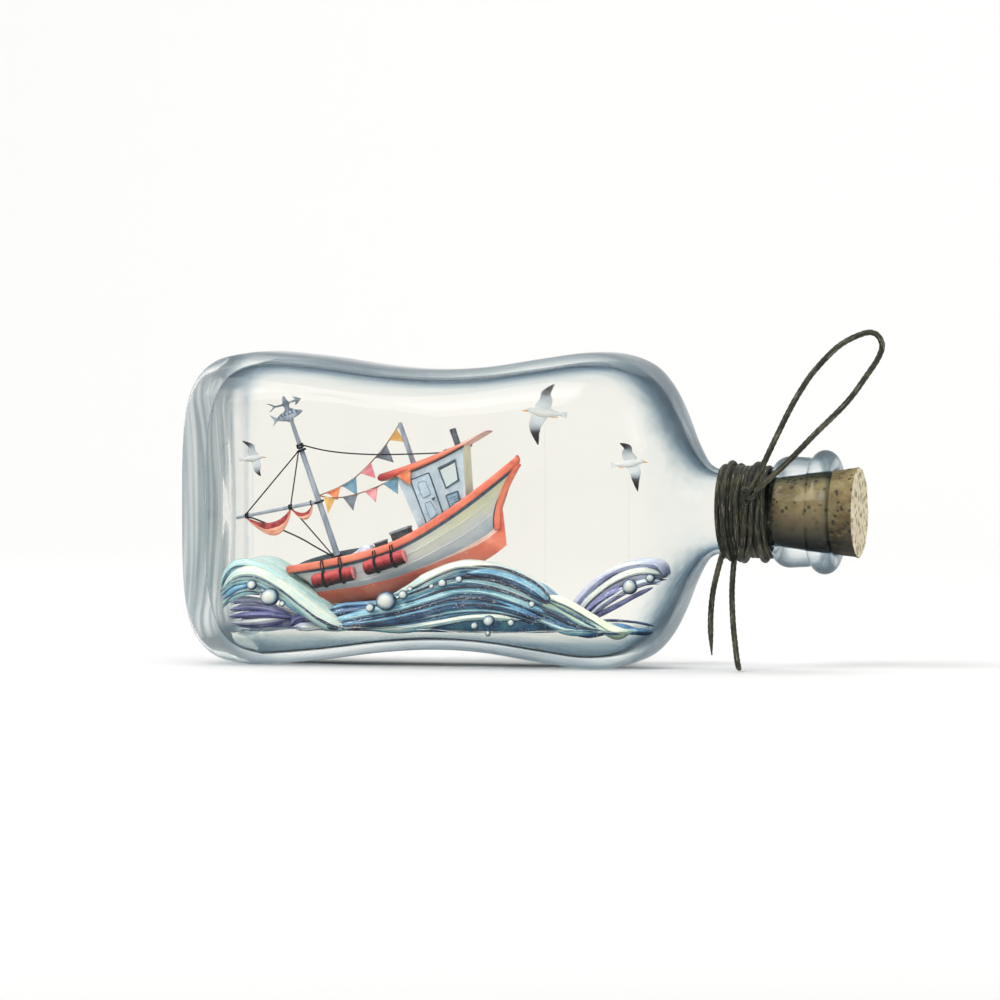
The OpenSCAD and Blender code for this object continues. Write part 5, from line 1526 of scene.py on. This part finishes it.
def make_masts():
    pole("aft_mast_spar", [[MAST_FOOT, 0.98], [MAST_HEAD - 0.4, mast_radius(MAST_HEAD)], [MAST_HEAD, 0.5]],
         MAST, "aft_mast")
    pole("mast_top_pole", [[MAST_HEAD - 0.2, 0.7], [POLE_TOP - 0.15, 0.6], [POLE_TOP, 0.42], [MAST_HEAD + 14, 0.42],
                           [MAST_HEAD + 14.3, 0.58], [MAST_HEAD + 14.7, 0.55], [MAST_HEAD + 15.0, 0.3],
                           [MAST_HEAD + 15.1, 0.04]], MAST, "mast_pole")
    pole("roof_mast_spar", [[roof_top(39.2) - 0.3, 0.8], [roof_top(39.2) + 12.9, 0.7],
                            [roof_top(39.2) + 13.25, 0.5], [roof_top(39.2) + 13.3, 0.1]], MAST, "roof_mast", x=39.2)
    run = (BOOM_OUT - BOOM_IN) / np.linalg.norm(BOOM_OUT - BOOM_IN)
    f = np.linspace(0, 1, 60)
    route = BOOM_IN + (BOOM_OUT - BOOM_IN) * f[:, None]
    radius = 0.6 - 0.12 * f
    radius[-1] *= 0.5
    piece("boom_spar", skin(afloat(tube_rings(route, radius, 20))), MAST, ("boom",), BOOM)
    # lashings round the boom and rope loops about the mast
    shapes = []
    for x in (-15.7, -15.3, -14.9, -1.9, -1.5, -1.1, 5.0):
        ring = ring_of(0.52, 0.2)
        c = along_boom(x)
        ax = np.stack([np.array([run[2], 0, -run[0]]), np.array([0, 1, 0]), run], 0)
        shapes.append(skin(afloat(ring @ ax + c)))
    piece("boom_seizings", join(*shapes), ROPE, ("boom_lashings",), BOOM)
    shapes = [skin(afloat(on_mast(ring_of(mast_radius(z - 0.4) + 0.08, 0.34, twist=0.15), z)))
              for z in (7.6, 24.9, 41.4)]
    piece("mast_rope_loops", join(*shapes), ROPE, ("mast_loops",), BOOM)
    shapes = [skin(afloat(on_mast(ring_of(mast_radius(z) - 0.04, 0.22, twist=t), z)))
              for z, t in ((42.3, 0.1), (42.75, -0.2), (43.2, 0.15), (42.6, 0.5))]
    piece("masthead_seizing", join(*shapes), ROPE, ("masthead_lashing",))


def rigging(name, route, node, body=ROOT, r=0.22, sag=0.0, colour=None):
    p = smooth(route, 8) if len(route) > 2 else np.linspace(route[0], route[1], 24)
    p = even(p, 0.4)
    f = np.linspace(0, 1, len(p))
    p = p - np.stack([0 * f, 0 * f, 4 * sag * f * (1 - f)], 1)
    piece(name, skin(afloat(tube_rings(p, r, 8, 2, 1.3, 0.18))), colour or ROPE,
          (node,) if node else (), body)
    return p


STAY = arr([8.3, 0, 42.8], [14, -0.4, 39.2], [21, -0.9, 35.8], [30.2, -1.5, 32.2],
           [42.2, -2.4, 28.3], [50.4, -3, 25.9])
UPPER = arr([8.2, 0, 26.7], [14.7, 0, 27], [20.6, 0, 28.2], [26.3, 0, 30.6],
            [32.8, 0, 34.2], [38.5, 0, 38.4])
LOWER = arr([8.2, 0, 26.6], [12.6, -0.8, 24.4], [18.3, -2, 23.3], [24.5, -3.4, 23],
            [30.6, -4.8, 23.3], [35, -5.9, 24], [38.4, -6.1, 24.5])


def make_lines():
    rigging("stay_line", STAY, "stay")
    rigging("bunting_cord_upper", UPPER, "bunting_line_upper", colour=TWINE, r=0.2)
    rigging("bunting_cord_lower", LOWER, "bunting_line_lower", colour=TWINE, r=0.2)
    rigging("lift_outer", arr([6.2, 0, 41.3], [-15.4, 0, 28.9]), "topping_lift_outer", BOOM)
    rigging("lift_inner", arr([6.4, 0, 41.2], [-1.6, 0, 26.2]), "topping_lift_inner", BOOM)
    rigging("sheet_outer", arr([-15.4, 0.6, 27.8], [-13, 1.1, 26.2], [-3, 1, 17.5], [2, 0.5, 12.2], [6, 0, 8]),
            "boom_line_outer", BOOM, r=0.26)
    rigging("sheet_inner", arr([-1.4, 0.6, 25.7], [-0.4, 0.8, 23.4], [3, 0.4, 15.6], [6.2, 0, 8.1]),
            "boom_line_inner", BOOM)
    # small turns of line where the stay meets the roof
    shapes = [skin(afloat(ring_of(0.3, 0.16) + np.array([50.6 + d, -3, roof_top(50.6) + 0.25]))) for d in (0, 0.25)]
    piece("stay_turns", join(*shapes), ROPE, ())


def pennant(route, leg, t, width, drop, y_bow, seed):
    """One triangle of cloth hung by its long edge, with a soft curl. Two skins 0.1 mm thick each side."""
    p = curve_at(route, leg, t)
    d = curve_at(route, leg, t + 0.05) - curve_at(route, leg, t - 0.05)
    d = np.array([d[0], 0, d[2]]) / math.hypot(d[0], d[2])
    down = np.array([d[2], 0, -d[0]])
    n = 14
    front, index = [], {}
    for i in range(n + 1):
        for j in range(n + 1 - i):
            a, b = i / n, j / n
            across = (b - (1 - a) / 2) * width
            depth = y_bow * math.sin(2.6 * a + seed) * (0.3 + a) + 0.22 * math.sin(5 * across / width + seed) * (0.4 + a)
            index[i, j] = len(front)
            front.append(p + d * across + down * (a * drop) + np.array([0, depth, 0]))
    front = np.array(front)
    faces = []
    for i in range(n):
        for j in range(n - i):
            faces.append((index[i, j], index[i, j + 1], index[i + 1, j]))
            if j < n - i - 1:
                faces.append((index[i, j + 1], index[i + 1, j + 1], index[i + 1, j]))
    count = len(front)
    thick = np.array([0, 0.11, 0])
    verts = np.vstack([front - thick, front + thick])
    back = [tuple(k + count for k in f[::-1]) for f in faces]
    edge = [index[0, j] for j in range(n + 1)] + [index[i, n - i] for i in range(1, n + 1)] \
        + [index[i, 0] for i in range(n - 1, 0, -1)]
    rim = [(edge[k], edge[(k + 1) % len(edge)], edge[(k + 1) % len(edge)] + count, edge[k] + count)
           for k in range(len(edge))]
    hem_route = np.array([p + d * x + np.array([0, 0, 0]) + down * 0.16 for x in np.linspace(-width / 2, width / 2, 12)])
    hem = skin(tube_rings(hem_route, 0.24, 8))
    return join((verts, faces + back + rim), hem)


def make_pennants():
    sets = {
        "yellow": (YELLOW, [(UPPER, 4, 0.5, 4.0, 4.1, 0.3, 0.4), (LOWER, 0, 0.72, 3.5, 4.9, 0.3, 1.3)]),
        "blue": (BLUE, [(UPPER, 1, 0.62, 5.1, 4.9, 0.4, 2.0), (LOWER, 4, 0.3, 4.9, 4.8, 0.35, 0.2)]),
        "pink": (PINK, [(UPPER, 2, 0.72, 4.5, 4.4, 0.35, 0.9), (LOWER, 3, 0.1, 4.3, 4.2, 0.3, 2.7)]),
        "grey": (GREY, [(UPPER, 3, 0.7, 5.2, 5.3, 0.4, 1.6), (LOWER, 1, 0.92, 4.7, 4.6, 0.35, 3.4)]),
        "orange": (ORANGE, [(UPPER, 0, 0.75, 4.6, 3.4, 0.4, 2.4), (LOWER, 5, 0.5, 4.7, 4.3, 0.25, 0.6)]),
    }
    for colour, (material, rows) in sets.items():
        piece("bunting_" + colour, afloat_shape(join(*[pennant(*row) for row in rows])), material,
              ("pennants_" + colour,))


def afloat_shape(shape):
    return afloat(shape[0]), shape[1]


def swag(name, x0, x1, sag_top, sag_low, node, seed):
    """A sail furled in a hanging swag: gathered cloth with folds, painted darker inside as shade and paler on the
    roll below as painted light.
    """
    n, m = 84, 48
    rings, uvs = [], []
    for i in range(n):
        f = i / (n - 1)
        x = x0 + (x1 - x0) * f
        base = along_boom(x)[2] - 0.55
        bell = math.sin(math.pi * f) ** 0.85
        top, low = base - sag_top * bell, base - 0.5 * (1 - bell) - sag_low * bell
        mid, half = (top + low) / 2, (top - low) / 2 + 0.12
        a = 2 * math.pi * np.arange(m) / m
        fold = 1 + 0.13 * np.sin(7 * a + 2.2 * math.sin(3 * f + seed)) * bell
        depth = (0.25 + 0.95 * bell) * fold
        z = mid + half * np.cos(a) + 0.0 * a
        belly = 0.55 + 0.45 * np.clip((top - z) / (top - low + 1e-6), 0, 1)
        y = -0.25 - depth * np.sin(a) * belly
        skew = 0.35 * math.sin(9 * f + seed) * bell * np.sin(a)
        rings.append(np.stack([x + skew, y, z], 1))
        uvs.append(np.clip((top - z) / (top - low + 1e-6), 0, 1))
    share = np.array(uvs)
    verts, faces = skin(np.array(rings))
    slots = []
    for i in range(n - 1):
        for j in range(m):
            k = (j + 1) % m
            level = (share[i, j] + share[i, k] + share[i + 1, j] + share[i + 1, k]) / 4
            # faces low in the swag take the lit cloth, the rest the shaded cloth: painted light and shade
            slots.append(1 if level > 0.52 + 0.08 * math.sin(9 * i / n) else 0)
    slots += [0, 0] * m
    piece(name, afloat_shape((verts, faces)), [SAIL_SHADED, SAIL_LIT], (node,), BOOM,
          face_slots=slots)


def make_vane():
    softened("vane_sleeve", MAST, 0.1, 2)
    # the fish: a flattened body with scales, fins and a forked tail
    n, m = 60, 36
    f = np.linspace(0, 1, n)
    length = 8.5
    x = -4.1 + length * f
    half = 1.42 * np.sin(np.pi * f ** 0.8) ** 0.72 + 0.04
    half[0], half[-1] = 0.16, 0.04
    a = 2 * math.pi * np.arange(m) / m
    rows = np.arange(n)[:, None]
    scale = 1 + 0.045 * np.abs(np.sin(rows * 0.62 + 3 * np.abs(np.cos(a * 3))))
    y = half[:, None] * 0.62 * np.cos(a) * scale
    z = half[:, None] * np.sin(a) * scale
    z = z + np.where(z < 0, 0.1 * np.sin(np.pi * f)[:, None], 0)
    y = np.where(np.abs(y) < 1e-9, 0, y)
    body = skin(np.stack([np.broadcast_to(x[:, None], y.shape), y, z], -1))

    def fin(points, thick=0.14):
        p = smooth(points + [points[0]], 5)[:-1]
        c = p.mean(0)
        k = len(p)
        rim = np.stack([p[:, 0], np.zeros(k), p[:, 1]], 1)
        front = np.stack([c[0] + (p[:, 0] - c[0]) * 0.8, np.full(k, -thick), c[1] + (p[:, 1] - c[1]) * 0.8], 1)
        back = front * np.array([1, -1, 1])
        return skin(np.array([front, rim, back]))

    fins = [fin([[-3.6, 0.25], [-4.6, 0.9], [-5.8, 1.9], [-5.3, 0.4], [-5.2, -0.2], [-5.9, -1.6], [-4.6, -0.7],
                 [-3.6, -0.25]]),
            fin([[-1.6, 1.25], [-0.6, 2.1], [0.9, 2.0], [1.9, 1.2], [0.4, 1.0]], 0.1),
            fin([[0.6, -1.2], [-0.2, -1.95], [-1.2, -1.8], [-1.4, -1.1]], 0.1)]
    verts, faces = join(body, *fins)
    verts = verts + np.array([MAST_X, 0, 52.6])
    bars = (0.5 + 0.5 * np.sin(verts[:, 0] * 5.2 + 0.8 * np.sin(verts[:, 2] * 2))) ** 2 * (verts[:, 2] > 52.7)
    bars = bars * (np.abs(verts[:, 0] - MAST_X) < 3.6)
    piece("fish", afloat_shape((verts, faces)), FISH_SKIN, ("vane_fish",), VANE,
          values={"bar": bars})
    # the arrow: a slightly bowed shaft, a barbed head and a feathered tail
    base = np.array([MAST_X, 0, 56.2])
    shaft = smooth([[-3.9, 0, 0.35], [-1.5, 0, 0.05], [1, 0, 0.1], [3.4, 0, 0.0]], 8)
    parts = [skin(tube_rings(shaft, 0.3, 12)), fin([[5.2, 0.0], [2.7, 1.5], [3.3, 0.15], [2.8, -1.35]], 0.22)]
    for end in (1.75, -1.15):
        bend = smooth([[-3.6, 0, 0.35], [-4.4, 0, 0.35 + 0.45 * end], [-5.5, 0, 0.3 + 0.9 * end]], 8)
        parts.append(skin(tube_rings(bend, np.linspace(0.3, 0.12, len(bend)), 10)))
    parts.append(skin(turned_about([[-0.7, 0.79], [-0.6, 1.0], [0, 1.12], [0.6, 1.0], [0.7, 0.79]], 32, (0, 0, 0),
                                   (0, 0, 1), (1, 0, 0))))
    verts, faces = join(*parts)
    piece("arrow", afloat_shape((verts + base, faces)), SILVER, ("vane_arrow",), VANE)


# ---- deck cargo and fenders ----

FENDER_Y, FENDER_R, FENDER_LEN = -10.9, 2.2, 13.6
FENDER_AT = [[7.2, 1.4, -7], [23.8, 0.5, -2]]


def deck_z(x):
    return float(sheer(x)) - RAIL_H / 2 + 0.6


def make_fenders():
    shapes, slots, ropes = [], [], []
    for i, (fx, fz, tilt) in enumerate(FENDER_AT):
        t = math.radians(tilt)
        ax, up = (math.cos(t), 0, math.sin(t)), (-math.sin(t), 0, math.cos(t))
        half = FENDER_LEN / 2
        rows = [[-half, 0.3], [-half, 1.4], [-half + 0.15, 1.8], [-half + 0.6, 2.1]]
        rows += [[x, FENDER_R - 0.10 * (math.cos(x * 2.4) > 0.9)] for x in np.linspace(-half + 1, half - 1, 50)]
        rows += [[half - 0.55, 2.1], [half - 0.2, 1.85], [half - 0.15, 1.7], [half - 0.3, 1.55], [half - 0.32, 0.3]]
        rings = turned_about(rows, 48, (fx, FENDER_Y, fz), ax, up)
        rings = rings + 0.05 * wobble(rings, 3, 51 + i, 3)[..., None] * np.array([0, 1, 1])
        shape = skin(rings)
        shapes.append(shape)
        n = len(rows)
        per = [0] * (n - 5) + [1] * 4
        slots += [s for s in per for _ in range(48)] + [0, 1] * 48
        for d in (-2.8, 2.8):
            c = np.array([fx + d * ax[0], FENDER_Y, fz + d * ax[2]])
            basis = np.stack([np.array(up), np.array([0, 1.0, 0]), np.array(ax)], 0)
            for shift in (-0.2, 0.22):
                ropes.append(skin(afloat(ring_of(FENDER_R - 0.06, 0.24) @ basis + c + np.array(ax) * shift)))
            top = float(sheer(c[0])) + 0.9
            for shift in (-0.42, 0.42):
                line = smooth([[c[0] + shift * 0.4, FENDER_Y + 0.2, c[2] + FENDER_R],
                               [c[0] + shift, FENDER_Y + 0.9, c[2] + FENDER_R + 1],
                               [c[0] + shift * 0.8, FENDER_Y + 1.9, top - 0.6],
                               [c[0] + shift * 0.5, FENDER_Y + 3.4, top + 0.3]], 6)
                ropes.append(skin(afloat(tube_rings(line, 0.2, 8, 2, 1.3, 0.18))))
    verts, faces = join(*shapes)
    piece("fender_rolls", afloat_shape((verts, faces)), [FENDER, FENDER_END], ("fenders",),
          face_slots=slots)
    piece("fender_slings", join(*ropes), ROPE, ("fender_ropes",))


def planked_box(x, y, z, size, lid, planks=4):
    """A small crate: boarded sides with gaps, corner battens and a lid that overhangs."""
    w, d, h = size
    boxes = []
    step = (h - lid) / planks
    for k in range(planks):
        boxes.append((x + 0.08, y + 0.08, z + k * step + 0.05, w - 0.16, d - 0.16, step - 0.10))
    boxes.append((x + 0.2, y + 0.2, z, w - 0.4, d - 0.4, h - 0.1))
    for cx in (x, x + w - 0.6):
        for cy in (y, y + d - 0.6):
            boxes.append((cx, cy, z, 0.6, 0.6, h - lid))
    return boxes, (x - 0.2, y - 0.2, z + h - lid, w + 0.4, d + 0.4, lid)


def bevelled_boxes(name, boxes, material, node=None, width=0.1):
    verts, faces = [], []
    for i, (x, y, z, w, d, h) in enumerate(boxes):
        at = len(verts)
        for dz in (0, h):
            verts += [(x, y, z + dz), (x + w, y, z + dz), (x + w, y + d, z + dz), (x, y + d, z + dz)]
        faces += [tuple(at + k for k in f) for f in
                  ((3, 2, 1, 0), (4, 5, 6, 7), (0, 1, 5, 4), (1, 2, 6, 5), (2, 3, 7, 6), (3, 0, 4, 7))]
    obj = piece(name, (afloat(np.array(verts)), faces), material, (node,) if node else ())
    bevel = obj.modifiers.new("edge", "BEVEL")
    bevel.width, bevel.segments = width * MM, 2
    obj.modifiers.new("normals", "WEIGHTED_NORMAL")
    return obj


def make_cargo():
    big, big_lid = planked_box(26, -3.4, deck_z(26) - 0.1, (5.8, 5, 5), 0.7)
    small, small_lid = planked_box(20.4, -3.4, deck_z(23) - 0.1, (3.4, 3.4, 3.5), 0.5, 3)
    bevelled_boxes("crate_boards", big + small, CRATE, "crates")
    bevelled_boxes("crate_lids", [big_lid, small_lid], CRATE_TOP)
    # the tarp: a sheet draped over a heap, falling in folds to the deck
    n, m = 64, 44
    verts = []
    for i in range(n):
        for j in range(m):
            fx, fy = i / (n - 1), j / (m - 1)
            x, y = 10.2 + 9.6 * fx, -4.3 + 8.2 * fy
            ridge = np.interp(fx, [0, 0.25, 0.6, 0.88, 1], [0, 1.9, 3.5, 3.0, 0])
            side = max(0.0, 1 - (2 * fy - 1) ** 4) ** 0.5
            fold = 0.16 * math.sin(7 * fx + 5 * fy) + 0.10 * math.sin(17 * fy + 3 * fx) \
                + 0.16 * (1 - side) * math.sin(16 * fx)
            z = deck_z(x) + 0.05 + (ridge + fold) * side * (1 - 0.15 * abs(2 * fy - 1))
            verts.append((x, y + 0.2 * math.sin(9 * fx) * (1 - side), z))
    top = np.array(verts)
    under = top - np.array([0, 0, 0.14])
    faces = grid_faces(n, m, False)
    count = n * m
    edge = [i * m for i in range(n)] + [(n - 1) * m + j for j in range(1, m)] \
        + [i * m + m - 1 for i in range(n - 2, -1, -1)] + [j for j in range(m - 2, 0, -1)]
    rim = [(edge[k], edge[(k + 1) % len(edge)], edge[(k + 1) % len(edge)] + count, edge[k] + count)
           for k in range(len(edge))]
    faces = faces + [tuple(i + count for i in f[::-1]) for f in faces] + rim
    piece("tarp_sheet", afloat_shape((np.vstack([top, under]), faces)), TARP, ("tarp",))


# ---- gulls ----


def blade(points, chords, thick, bow, tone, y0=0.0):
    """A wing or tail: a tapering blade along x-z points, with bow as its depth at each point."""
    rows = smooth(np.column_stack([points, chords, thick, bow, tone]), 8)
    p = np.stack([rows[:, 0], rows[:, 4] + y0, rows[:, 1]], 1)
    t = np.gradient(p[:, [0, 2]], axis=0)
    t /= np.linalg.norm(t, axis=1)[:, None]
    chord = np.stack([t[:, 1], 0 * t[:, 0], -t[:, 0]], 1)
    m = 18
    a = 2 * math.pi * np.arange(m) / m
    c = np.cos(a)
    camber = 0.12 * (1 - c ** 2)
    ring = p[:, None] + (rows[:, 2][:, None] * c)[..., None] * chord[:, None]
    ring[..., 1] += rows[:, 3][:, None] * np.sin(a) + rows[:, 2][:, None] * camber
    # trailing-edge feathers
    k = np.arange(len(p))[:, None]
    ring += (0.10 * rows[:, 2][:, None] * np.abs(np.sin(k * 0.7)) * (c > 0.8))[..., None] * chord[:, None]
    tones = np.broadcast_to(rows[:, 5][:, None], (len(p), m)).reshape(-1)
    return skin(ring), np.concatenate([tones, tones[:1], tones[-1:]])


def make_gull(name, node, at, size, facing, up, down, faint=0.0):
    b = size / 2
    tilt = math.radians(6)
    f = np.linspace(0, 1, 46)
    prof = np.interp(f, [0, 0.12, 0.35, 0.62, 0.78, 0.84, 0.9, 0.97, 1],
                     [0.02, 0.11, 0.25, 0.26, 0.17, 0.15, 0.15, 0.09, 0.02])
    prof = smooth(np.column_stack([f, prof]), 1)[:, 1]
    x = -1.0 + 2.05 * f
    body = turned_about(np.stack([x * b, prof * b], 1), 28, (0, 0, 0), (1, 0, 0), (0, 0, 1))
    body[..., 2] += (0.06 * b * np.clip((x - 0.5) / 0.4, 0, 1))[:, None]
    body_shape = skin(body)
    tones = np.full(len(body_shape[0]), 0.04)
    wing_up = blade([[0.25 * b, 0.1 * b], [-0.02 * b, 0.62 * b], [0.02 * b, 1.05 * b], [up[0] * b, up[1] * b]],
                    [0.40 * b, 0.36 * b, 0.25 * b, 0.03 * b], [0.07 * b, 0.05 * b, 0.035 * b, 0.015 * b],
                    [0, -0.16 * b, -0.10 * b, 0.12 * b], [0.16, 0.36, 0.62, 1.0])
    wing_down = blade([[0.25 * b, -0.1 * b], [0.42 * b, -0.62 * b], [0.40 * b, -1.1 * b], [down[0] * b, down[1] * b]],
                      [0.40 * b, 0.36 * b, 0.25 * b, 0.03 * b], [0.07 * b, 0.05 * b, 0.035 * b, 0.015 * b],
                      [0, -0.20 * b, -0.22 * b, -0.04 * b], [0.16, 0.32, 0.60, 1.0])
    tail = blade([[-0.75 * b, 0.0], [-1.0 * b, -0.01 * b], [-1.22 * b, -0.02 * b]],
                 [0.07 * b, 0.13 * b, 0.17 * b], [0.05 * b, 0.03 * b, 0.015 * b], [0, 0, 0], [0.05, 0.1, 0.3])
    parts = [body_shape, wing_up[0], wing_down[0], tail[0]]
    tones = np.concatenate([tones, wing_up[1], wing_down[1], tail[1]]) * (1 - faint * 0.3)
    beak_rows = [[1.0, 0.055], [1.08, 0.05], [1.2, 0.035], [1.3, 0.012]]
    beak = turned_about(np.array(beak_rows) * b, 14, (0, 0, 0.05 * b), (1, 0, -0.06), (0.06, 0, 1))
    feet = [skin(tube_rings(smooth([[-0.3 * b, s * 0.08 * b, -0.16 * b], [-0.5 * b, s * 0.09 * b, -0.22 * b],
                                    [-0.72 * b, s * 0.10 * b, -0.2 * b]], 5), 0.022 * b, 7)) for s in (-1, 1)]
    eyes = [skin(turned_about(np.array([[-0.03, 0.004], [-0.015, 0.026], [0.015, 0.026], [0.03, 0.004]]) * b, 10,
                              (0.86 * b, s * 0.11 * b, 0.10 * b), (0, 1, 0), (0, 0, 1))) for s in (-1, 1)]

    def put(shape):
        v, f = shape
        v = v.copy()
        c, s = math.cos(tilt), math.sin(tilt)
        v = np.stack([v[:, 0] * c - v[:, 2] * s, v[:, 1], v[:, 0] * s + v[:, 2] * c], 1)
        v[:, 0] *= facing
        return v + np.array(at), f

    piece(name, put(join(*parts)), FEATHER, (node,), values={"tone": tones})
    piece(name + "_beak", put(join(skin(beak), *feet)), BEAK, ())
    piece(name + "_eyes", put(join(*eyes)), DARK, ())


GULLS = [[3.4, 6, 76], [28.8, 8, 60.8], [-89.4, 11, 61.4]]
STEM_FEET = [25, 28.5, 29]


def make_gulls():
    make_gull("gull_big", "gull_large", GULLS[0], 11, -1, (-0.3, 1.6), (0.2, -1.8))
    make_gull("gull_by_neck", "gull_right", GULLS[1], 9, 1, (-0.5, 1.4), (0.4, -1.9))
    make_gull("gull_aft", "gull_left", GULLS[2], 7, 1, (-0.8, 1.6), (0.6, -1.6), 0.6)
    shapes = []
    for (x, y, z), foot in zip(GULLS, STEM_FEET):
        rows = [[foot, 0.25], [foot + 1, 0.22], [z - 2, 0.2], [z - 0.9, 0.2]]
        shapes.append(skin(turned_about(rows, 16, (x, y, 0), (0, 0, 1), (1, 0, 0))))
    piece("gull_rods", join(*shapes), ROD, ("gull_stems",))


HULL_SIDE = hull_material()
BOOT_LINE = painted("boot_line", [(0.3, (0.86, 0.52, 0.42)), (0.7, (0.93, 0.70, 0.60))], 2)
TWINE = painted("twine", [(0.3, (0.10, 0.05, 0.02)), (0.7, (0.34, 0.18, 0.09))], 1.2, (0.6, 0.8), grain=0.1)
SLATE = painted("slate_paint", [(0.3, (0.035, 0.05, 0.065)), (0.7, (0.13, 0.17, 0.20))], 2.5, stretch=(0.3, 1, 1))


def house_material():
    """Blue-grey sides with dark specks, and a cream and green-washed front."""
    t = Tree("house_paint")
    at = t.place((1, 1, 0.5))
    wash = t.noise(at, 0.28, 5, 0.6, 0.7)
    colour = t.ramp(wash, [(0.25, (0.27, 0.34, 0.42)), (0.5, (0.42, 0.50, 0.57)), (0.75, (0.60, 0.66, 0.70))])
    front = t.add("SeparateXYZ", {"Vector": t.coords.outputs["Normal"]}).outputs["X"]
    cream = t.ramp(wash, [(0.3, (0.60, 0.64, 0.42)), (0.7, (0.78, 0.78, 0.60))])
    colour = t.mix(t.math("GREATER_THAN", front, 0.8), colour, cream)
    dots = t.add("TexVoronoi", {"Vector": t.place(), "Scale": 2.4}).outputs["Distance"]
    where = t.noise(t.place(), 0.5, 2, 0.5)
    speck = t.math("MULTIPLY", t.math("LESS_THAN", dots, 0.22), t.math("GREATER_THAN", where, 0.52))
    colour = t.mix(t.math("MULTIPLY", speck, 0.5), colour, (0.10, 0.14, 0.20))
    grain = t.noise(at, 3.0, 3, 0.6)
    t.surface(color=colour, rough=t.span(grain, 0.45, 0.6), normal=t.bump(grain, 0.5, 0.05), coat=0.1)
    return t.mat


HOUSE_TONED = house_material()
DOOR = painted("door_paint", [(0.3, (0.33, 0.42, 0.52)), (0.7, (0.52, 0.61, 0.70))], 2.5, (0.35, 0.5), coat=0.15)
DARK_BLUE = painted("dark_blue", [(0.3, (0.03, 0.055, 0.085)), (0.7, (0.10, 0.15, 0.20))], 1.5)


def fish_material():
    """Silver-blue scales with darker bars across the back."""
    t = Tree("fish_skin")
    scale = t.add("TexVoronoi", {"Vector": t.place((1, 1, 1.3)), "Scale": 2.6}).outputs["Distance"]
    wash = t.noise(t.place(), 0.9, 3, 0.6)
    colour = t.ramp(wash, [(0.3, (0.20, 0.27, 0.34)), (0.5, (0.42, 0.50, 0.57)), (0.7, (0.68, 0.73, 0.76))])
    colour = t.mix(0.5, colour, t.ramp(scale, [(0.1, (1, 1, 1)), (0.5, (0.5, 0.56, 0.62))]), "MULTIPLY")
    bar = t.add("Attribute", attribute_name="bar").outputs["Fac"]
    colour = t.mix(t.math("MULTIPLY", bar, 0.95), colour, (0.015, 0.025, 0.05))
    t.surface(color=colour, rough=t.span(scale, 0.3, 0.5), normal=t.bump(scale, 0.6, 0.08), metal=0.2)
    return t.mat


FISH_SKIN = fish_material()


def roof_material():
    """Coral paint, deep red on the rounded after end, with a painted highlight of pale pink on the thin fore end."""
    t = Tree("roof_paint")
    at = t.place((0.6, 1, 1))
    wash = t.noise(at, 0.5, 4, 0.6, 0.5)
    fore = t.add("Attribute", attribute_name="fore").outputs["Fac"]
    level = t.math("ADD", fore, t.math("MULTIPLY", t.math("SUBTRACT", wash, 0.5), 0.35))
    # the pale pink near the fore end is a painted highlight
    colour = t.ramp(level, [(0.02, (0.30, 0.02, 0.025)), (0.16, (0.52, 0.07, 0.05)), (0.30, (0.78, 0.19, 0.11)),
                            (0.65, (0.82, 0.25, 0.16)), (0.85, (0.86, 0.46, 0.38)), (1.0, (0.62, 0.30, 0.26))])
    fine = t.noise(at, 3.2, 3, 0.6)
    colour = t.mix(0.3, colour, t.ramp(fine, [(0.3, (0.6, 0.6, 0.6)), (0.7, (1, 1, 1))]), "MULTIPLY")
    t.surface(color=colour, rough=t.span(fine, 0.4, 0.55), normal=t.bump(fine, 0.5, 0.05), coat=0.1, spec=0.3)
    return t.mat


ROOF = roof_material()

make_hull()
make_rail()
make_bulwark()
make_stem()
make_roof()
make_house()
make_masts()
make_lines()
make_pennants()
swag("large_sail", -15.5, -1.7, 3.0, 6.9, "sail_large", 0.3)
swag("small_sail", -1.4, 5.2, 2.0, 4.0, "sail_small", 1.9)
make_vane()
make_fenders()
make_cargo()
make_gulls()
